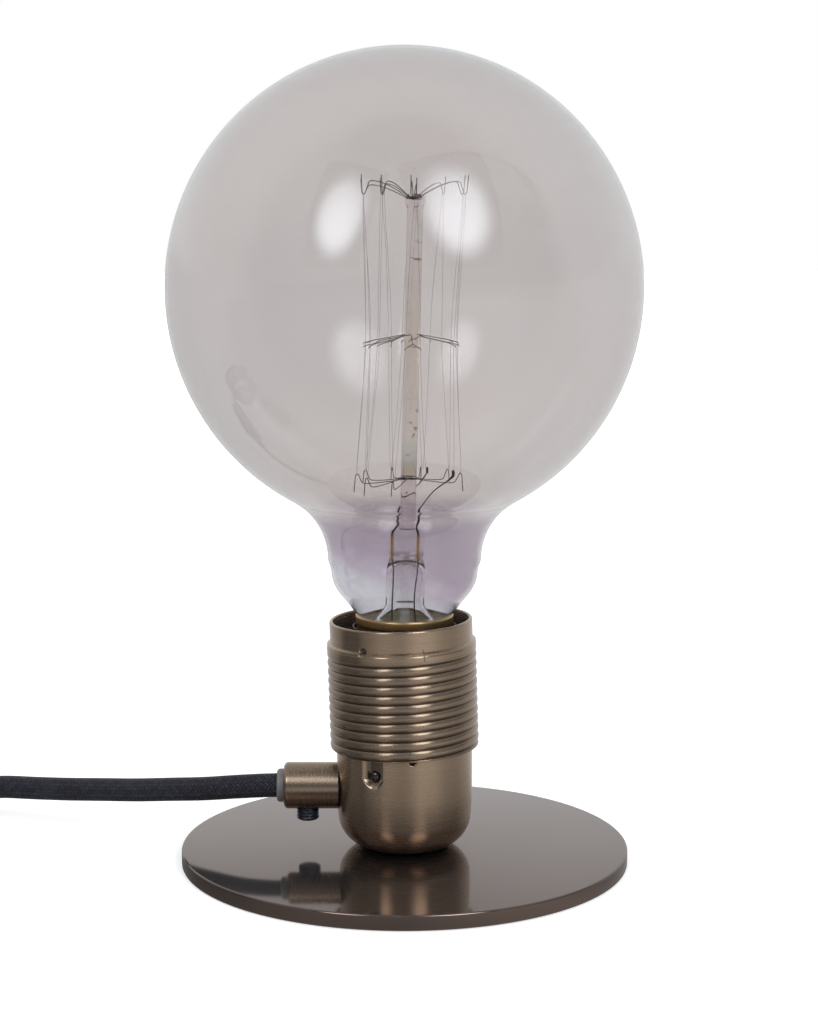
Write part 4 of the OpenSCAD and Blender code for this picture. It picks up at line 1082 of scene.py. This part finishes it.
def make_cap():
    """Rolled brass cap with the lamp thread."""
    tip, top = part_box("bulb_contact")[0].z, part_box("bulb_screw_cap")[1].z - 1.1 * MM
    z0, z1 = tip + 6.3 * MM, top - 3.3 * MM  # the ends of the thread
    rim_z, rim_r, fade_h = z1 + 0.5 * MM, 13.15 * MM, 1.5 * MM

    def outside(a, z):
        if z > rim_z:
            rolled = 0.25 * MM * ease((z - top + 0.3 * MM) / (0.3 * MM))
            return mix(CAP_R, rim_r, ease((z - rim_z) / (0.6 * MM))) - rolled
        fade = ease((z - z0 + fade_h) / fade_h) * ease((z1 - z) / fade_h)
        return CAP_R + LAMP_AMP * fade * cos(2 * pi * ((z - tip) / LAMP_PITCH - a / 360))

    zs = series(z0, top, 150)
    inner = [(12.62 * MM, top), (12.6 * MM, z1 - 0.2 * MM), (11.6 * MM, z1 - 0.8 * MM),
             (11.6 * MM, z0 + 0.4 * MM), (9.8 * MM, z0 - 1.3 * MM), (10.2 * MM, z0 - 1.7 * MM)]
    grid = ring_grid([2.5 * k for k in range(144)], lambda a: zs, inner, outside)
    stands_for(welded("screw_cap", *grid), "bulb_screw_cap")
    foot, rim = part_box("cap_cement")[0].z, top - 0.5 * MM
    outline = [(12.42 * MM, foot), (12.59 * MM, foot), (12.59 * MM, rim), (12.42 * MM, rim)]
    stands_for(lathe("cement", outline, 128), "cap_cement")


make_glass()
make_cap()


# ---- inside the bulb ----

GLOBE_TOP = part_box("bulb_glass")[1]
GLOBE_Z = GLOBE_TOP.z - GLOBE_STRETCH * GLOBE_TOP.x
PINCH_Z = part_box("glass_stem")[1].z  # top of the stem's pinch
PINCH_H = 9 * MM
ROD_R = 2.1 * MM
CAGE_R, WAIST_R = 13.8 * MM, 12.2 * MM  # the filament's ring at the hooks, and at the middle anchors
UPPER_Z, LOWER_Z = GLOBE_Z + 24.9 * MM, GLOBE_Z - 48.8 * MM  # where the filament turns
MIDDLE_Z = GLOBE_Z - 13.8 * MM
HOOKS = 9
LEAD_A = (-33, 290)  # the filament starts and ends at these angles
STRAND_STEP = (LEAD_A[1] - LEAD_A[0]) / (2 * HOOKS)
ANCHOR_R = 0.12 * MM
FILAMENT_R = 0.038 * MM


def leaning(slope, level):
    """Leans what stands upright towards +X, more the higher it is above the level."""
    return Matrix(((1, 0, slope, -slope * level), (0, 1, 0, 0), (0, 0, 1, 0), (0, 0, 0, 1)))


STEM_LEAN, ROD_LEAN, CAGE_LEAN = leaning(0.03, 68 * MM), leaning(0.0235, 56 * MM), leaning(0.0179, 40.6 * MM)


def strand_a(j):
    """Angle of the filament's strand j."""
    return LEAD_A[0] + j * STRAND_STEP


def wires(name, node, paths, radius, sides=6):
    """One piece of several wires, whose paths are smooth curves through their points."""
    made = [tube(name + "_part", smooth_path(path, 3), radius, sides) for path in paths]
    piece = joined(name, made)
    piece.data.transform(CAGE_LEAN)
    stands_for(piece, node)


def hook(a, root_z, arm_z, turn_z, end_z):
    """Arm sealed right through the rod that bends into a narrow hook round the filament's turn."""
    side = [
        (-1.9 * MM, root_z), (1.6 * MM, mix(root_z, arm_z, 0.06)),
        (ROD_R + 1.6 * MM, mix(root_z, arm_z, 0.35)), (CAGE_R - 5.5 * MM, mix(root_z, arm_z, 0.85)),
        (CAGE_R - 1.9 * MM, arm_z), (CAGE_R - MM, mix(arm_z, turn_z, 0.4)),
        (CAGE_R - 0.4 * MM, mix(arm_z, turn_z, 0.9)), (CAGE_R, turn_z),
        (CAGE_R + 0.4 * MM, mix(turn_z, end_z, 0.15)), (CAGE_R + 0.75 * MM, end_z),
    ]
    return [polar(r, a, z) for r, z in side]


def make_anchors():
    """Hooks over and under the filament, and forked arms at its middle, each bent a little differently."""
    draw = random.Random(5)
    upper, lower, middle = [], [], []
    top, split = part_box("support_rod")[1].z - 1.3 * MM, WAIST_R - 3 * MM

    def stray(most):
        return draw.uniform(-most, most)

    for k in range(HOOKS):
        a, up, root = strand_a(2 * k + 1) + stray(2), stray(0.6) * MM, top + stray(0.3) * MM
        upper.append(hook(a, root, UPPER_Z + 3 * MM + up, UPPER_Z, UPPER_Z + 4.6 * MM + up))
    for k in range(1, HOOKS):
        a, up, root = strand_a(2 * k) + stray(2), stray(0.9) * MM, LOWER_Z + draw.uniform(-1.6, 0) * MM
        lower.append(hook(a, root, LOWER_Z - 2.5 * MM, LOWER_Z, LOWER_Z - 4.3 * MM + up))
    for k in range(HOOKS):
        a, z = strand_a(2 * k + 1), MIDDLE_Z + stray(0.4) * MM
        middle.append([polar(ROD_R - 0.2 * MM, a, MIDDLE_Z + 2.1 * MM), polar(5 * MM, a, z + 1.3 * MM),
                       polar(split, a, z + 0.5 * MM)])
        for side in (-1, 1):
            end = a + side * STRAND_STEP / 2
            middle.append([
                polar(split - MM, a, z + 0.65 * MM), polar(split + 0.6 * MM, mix(a, end, 0.3), z + 0.4 * MM),
                polar(WAIST_R + 0.1 * MM, end - 0.5 * side, z - 0.3 * MM),
                polar(WAIST_R + 0.6 * MM, end + 0.7 * side, z - 0.7 * MM),
            ])
    for place, paths in (("upper", upper), ("lower", lower), ("middle", middle)):
        wires("anchors_" + place, place + "_anchors", paths, ANCHOR_R)


def make_filament():
    """One fine wire, up and down between the hooks and drawn in a little by the middle anchors."""
    path = [polar(CAGE_R, strand_a(0), LOWER_Z + 1.5 * MM)]
    for j in range(2 * HOOKS):
        up = j % 2 == 0
        side = 1 if up else -1
        z0, z1 = (LOWER_Z, UPPER_Z) if up else (UPPER_Z, LOWER_Z)
        a, b = strand_a(j), strand_a(j + 1)
        path += [polar(CAGE_R, mix(a, b, 0.09), z0 + side * 4 * MM),
                 polar(mix(CAGE_R, WAIST_R, 0.8), mix(a, b, 0.4), mix(z0, z1, 0.35)),
                 polar(WAIST_R, mix(a, b, 0.5), MIDDLE_Z),
                 polar(mix(CAGE_R, WAIST_R, 0.55), mix(a, b, 0.7), mix(z0, z1, 0.78)),
                 polar(CAGE_R, b - 1.6, z1 - side * 3 * MM)]
        if j < 2 * HOOKS - 1:
            path += [polar(CAGE_R, b - 0.9, z1 - side * 0.1 * MM), polar(CAGE_R, b, z1 + side * 0.2 * MM),
                     polar(CAGE_R, b + 0.9, z1 - side * 0.1 * MM)]
    path.append(polar(CAGE_R, LEAD_A[1], LOWER_Z + 2.6 * MM))
    wires("filament_wire", "filament", [path], FILAMENT_R, 5)


def make_leads():
    """The two wires that feed the filament: thin in the stem, thicker and a little bent above the pinch."""
    def at_filament(heights):
        """Points on the filament's two ends, this high over its lower turn, in mm."""
        return [CAGE_LEAN @ polar(CAGE_R, a, LOWER_Z + up * MM) / MM for a, up in zip(LEAD_A, heights)]

    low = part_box("lead_in_wires")[0].z / MM
    z, c = PINCH_Z / MM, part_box("bulb_screw_cap")[1].z / MM
    thin, thick, bead = 0.2, 0.31, 0.42
    ends, tips = at_filament((0.6, 2.3)), at_filament((2, 3.6))
    right = [(0, 0, low + 2.5, thin), (0, 0, low + 8, thin), (3, 0, c - 14, thin), (3.3, 0, c - 6, thin),
             (2.6, 0, c + 2, thin), (3.5, 0, z - 11, thin), (3.5, 0, z - 8, 0.4), (3.6, 0, z - 3, 0.4),
             (3.6, 0, z - 1.2, thick), (3.1, -0.2, z + 0.8, thick), (3.6, -0.5, z + 2.4, thick),
             (3.9, -0.9, z + 4.4, thick), (4.4, -1.3, z + 5.4, 0.16), (7.6, -3.8, z + 10, 0.16),
             (*short_of(ends[0], 0.9), 0.2), (*ends[0], bead), (*tips[0], bead * 0.9)]
    left = [(-11.2, 0, c - 8, thin), (-7, 0, c - 7.6, thin), (-3.6, 0, c - 5, thin), (-3.3, 0, c + 2, thin),
            (-2.9, 0, z - 11, thin), (-3.2, 0, z - 8, 0.4), (-3.2, 0, z - 3, 0.4), (-3.1, 0, z - 1, thick),
            (-2.5, 0.2, z + 0.3, thick), (-1.7, 0.9, z + 1.6, thick), (-1.9, 1.6, z + 3, thick),
            (-1.1, 2.6, z + 5, 0.2), (0.8, 3, z + 7.8, 0.1), (3, 1.2, z + 10.5, 0.14),
            (4.2, -5, z + 12.7, 0.2), (*short_of(ends[1], 0.97), 0.2), (*ends[1], 0.3), (*tips[1], 0.26)]
    made = []
    for points in (right, left):
        path = smooth_path(points, 5)
        made.append(tube("lead_part", path[:, :3] * MM, path[:, 3] * MM, 10))
    stands_for(joined("leads", made), "lead_in_wires")


def short_of(end, share):
    """A point on the way from the stem to a lead's end."""
    return (end.x * share, end.y * share, end.z - (1 - share) * 14)


def make_stem():
    """Flared glass tube, flattened into a pinch at its top."""
    low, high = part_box("glass_stem")
    low, foot_r, flare_r, wall = low.z, high.x, 5.2 * MM, 0.9 * MM
    half_w, half_t, flare_h = 4.6 * MM, 1.8 * MM, 6 * MM
    pinch_foot = PINCH_Z - PINCH_H

    def flare(start, end):
        return [(mix(start, end, mix(t, ease(t), 0.4)), low + flare_h * t) for t in series(0, 1, 12)]

    def squeeze(a, r, z):
        """How far the pinch presses the tube in."""
        x, y = abs(cos(radians(a))), abs(sin(radians(a)))
        flat_r = ((x / half_w) ** 3 + (y / half_t) ** 3) ** (-1 / 3)
        return r * (1 - flat_r / flare_r) * ease((z - pinch_foot + 2.6 * MM) / (3.4 * MM))

    side = [(flare_r, z) for z in series(low + flare_h, PINCH_Z - MM, 30)[1:]]
    top = arc((flare_r - MM, PINCH_Z - MM), MM, 18, 90, 4)
    inner = [(0, pinch_foot - 0.5 * MM), (1.6 * MM, pinch_foot - 0.8 * MM), (3.3 * MM, pinch_foot - 1.9 * MM)]
    inner += [(flare_r - wall, z) for z in series(pinch_foot - 3.6 * MM, low + flare_h, 8)[:-1]]
    outline = flare(foot_r, flare_r) + side + top + [(0, PINCH_Z)] + inner
    outline += list(reversed(flare(foot_r - 1.6 * MM, flare_r - wall)))
    stem = lathe("stem", outline, 128, STEM_LEAN, squeeze, sharp=60)
    stem.visible_shadow = False
    stands_for(stem, "glass_stem")


def make_rod():
    """Rod whose softened end holds the upper anchors."""
    foot, high, head_r = PINCH_Z + 0.05 * MM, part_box("support_rod")[1].z, ROD_R + 0.6 * MM
    outline = rounded([
        (0, foot, 0), (ROD_R + 0.25 * MM, foot, 0.4 * MM), (ROD_R, foot + 4 * MM, 4 * MM),
        (ROD_R, high - 3.6 * MM, 2 * MM), (head_r, high - 2.3 * MM, 0.7 * MM),
        (head_r - 0.2 * MM, high, 1.2 * MM), (0, high, 0),
    ], 6)
    rod = lathe("rod", outline, 48, ROD_LEAN, sharp=60)
    rod.visible_shadow = False
    stands_for(rod, "support_rod", look=rod_glass())


make_anchors()
make_filament()
make_leads()
make_stem()
make_rod()


# ---- floor, light and backdrop ----

# How bright the room looks in reflections, by the direction round the lamp in degrees: 0 is the camera's side
# and 90 is +X. Pale screens stand behind the lamp and to the camera's right, and dark ones beside it.
ROOM = [(-180, 0.8), (-150, 0.6), (-125, 0.42), (-102, 0.24), (-67, 0.24), (-38, 0.45), (-20, 0.56), (0, 0.5),
        (27, 0.82), (45, 0.88), (69, 0.56), (90, 0.48), (129, 0.6), (150, 0.75), (180, 0.8)]
FILL_LIGHT = (0.75, 0.75, 0.75)  # lights the lamp evenly from all round


def room_level(graph, where):
    """The room's brightness towards a point or a direction."""
    turn = graph.math("ARCTAN2", where[0], graph.times(where[1], -1.0))
    turn = graph.line(turn, 1 / (2 * pi), 0.5)
    return graph.ramp(turn, *[(0.5 + azimuth / 360, level) for azimuth, level in ROOM])


def make_world():
    """White behind the lamp. Reflections see a room that is dim on the camera's side."""
    world = bpy.data.worlds.new("studio")
    world.use_nodes = True
    bpy.context.scene.world = world
    graph = Graph(world.node_tree)
    path = graph.node("ShaderNodeLightPath").outputs
    where = graph.split(graph.node("ShaderNodeTexCoord").outputs["Generated"])
    front = graph.ramp(where[2], (0.25, 0.16), (0.6, 0.5))
    back = graph.ramp(where[2], (0.25, (0.78, 0.8, 0.82)), (0.7, (0.58, 0.6, 0.62)))
    edge = graph.times(graph.smooth(where[1], 0.25, 0.29), 0.3)
    share = graph.line(graph.smooth(where[1], 0.29, 0.75), 0.7, edge)
    above = graph.smooth(where[2], 0.0, 0.12)
    room = graph.blend(above, room_level(graph, where), graph.blend(share, front, back))
    backdrop = graph.line(graph.smooth(where[1], -0.35, 0.1), 0.84, 0.16)
    level = graph.blend(path["Is Glossy Ray"], FILL_LIGHT, room)
    level = graph.blend(path["Is Transmission Ray"], level, backdrop)
    level = graph.blend(path["Is Camera Ray"], level, (1, 1, 1))
    graph.tree.links.new(level, graph.tree.nodes["Background"].inputs["Color"])


def make_floor():
    """Pale floor that keeps the lamp's shadow and turns white away from it."""
    floor = add_square("floor", 4)
    look = Look("floor", Base_Color=(0.85, 0.85, 0.85), Roughness=0.9, Specular_IOR_Level=0.0,
                Emission_Color=(1, 1, 1))
    path = look.node("ShaderNodeLightPath").outputs
    point = look.place()
    where = look.split(point)
    away = look.distance(point)
    glow = look.line(look.smooth(away, 0.25, 1.2), 0.55, 0.45)
    look.drive("Emission Strength", look.times(glow, path["Is Camera Ray"]))
    behind = look.times(look.smooth(where[1], -0.1, 0.1), path["Is Transmission Ray"])
    # Painted shadow: in reflections the floor is a glow, dimmed to 0.6 of its level close round the disc.
    seen = look.node("ShaderNodeEmission", {
        "Color": look.blend(behind, room_level(look, where), (1, 1, 1)),
        "Strength": look.line(look.smooth(away, 0.058, 0.125), 0.4, 0.6),
    })
    indirect = look.math("MAXIMUM", path["Is Glossy Ray"], path["Is Transmission Ray"])
    plain = look.shader.outputs[0]
    look.surface(look.node("ShaderNodeMixShader", {0: indirect, 1: plain, 2: seen.outputs[0]}))
    floor.data.materials.append(look.material)


def make_softbox(name, azimuth, elevation, width, height, strength):
    """Glowing panel aimed at the globe, brightest low in its middle. Azimuth 0 is the camera's side."""
    target, distance = Vector((0, 0, 0.12)), 1.25
    a, e = radians(azimuth), radians(elevation)
    out = Vector((sin(a) * cos(e), -cos(a) * cos(e), sin(e)))
    panel = add_square(name, 1)
    turn = (-out).to_track_quat("-Z", "Y").to_matrix().to_4x4()
    panel.matrix_world = Matrix.Translation(target + out * distance) @ turn @ Matrix.Diagonal(
        (width / 2, height / 2, 1, 1))
    look = Look(name)
    point = look.place()
    edge, middle = look.distance(point), look.distance(point, (0, -0.25, 0))
    level = look.times(look.smooth(edge, 1.0, 0.45), look.smooth(middle, 1.5, 0.1))
    look.surface(look.node("ShaderNodeEmission", {
        "Color": (0.93, 0.98, 1.05), "Strength": look.times(level, strength)}))
    panel.data.materials.append(look.material)
    panel.visible_camera = False


make_world()
make_floor()
make_softbox("softbox_left", -34, 36, 0.62, 1.05, 6)
make_softbox("softbox_right", 29, 39, 0.85, 1.2, 6.5)

bpy.context.scene.view_settings.view_transform = "Standard"
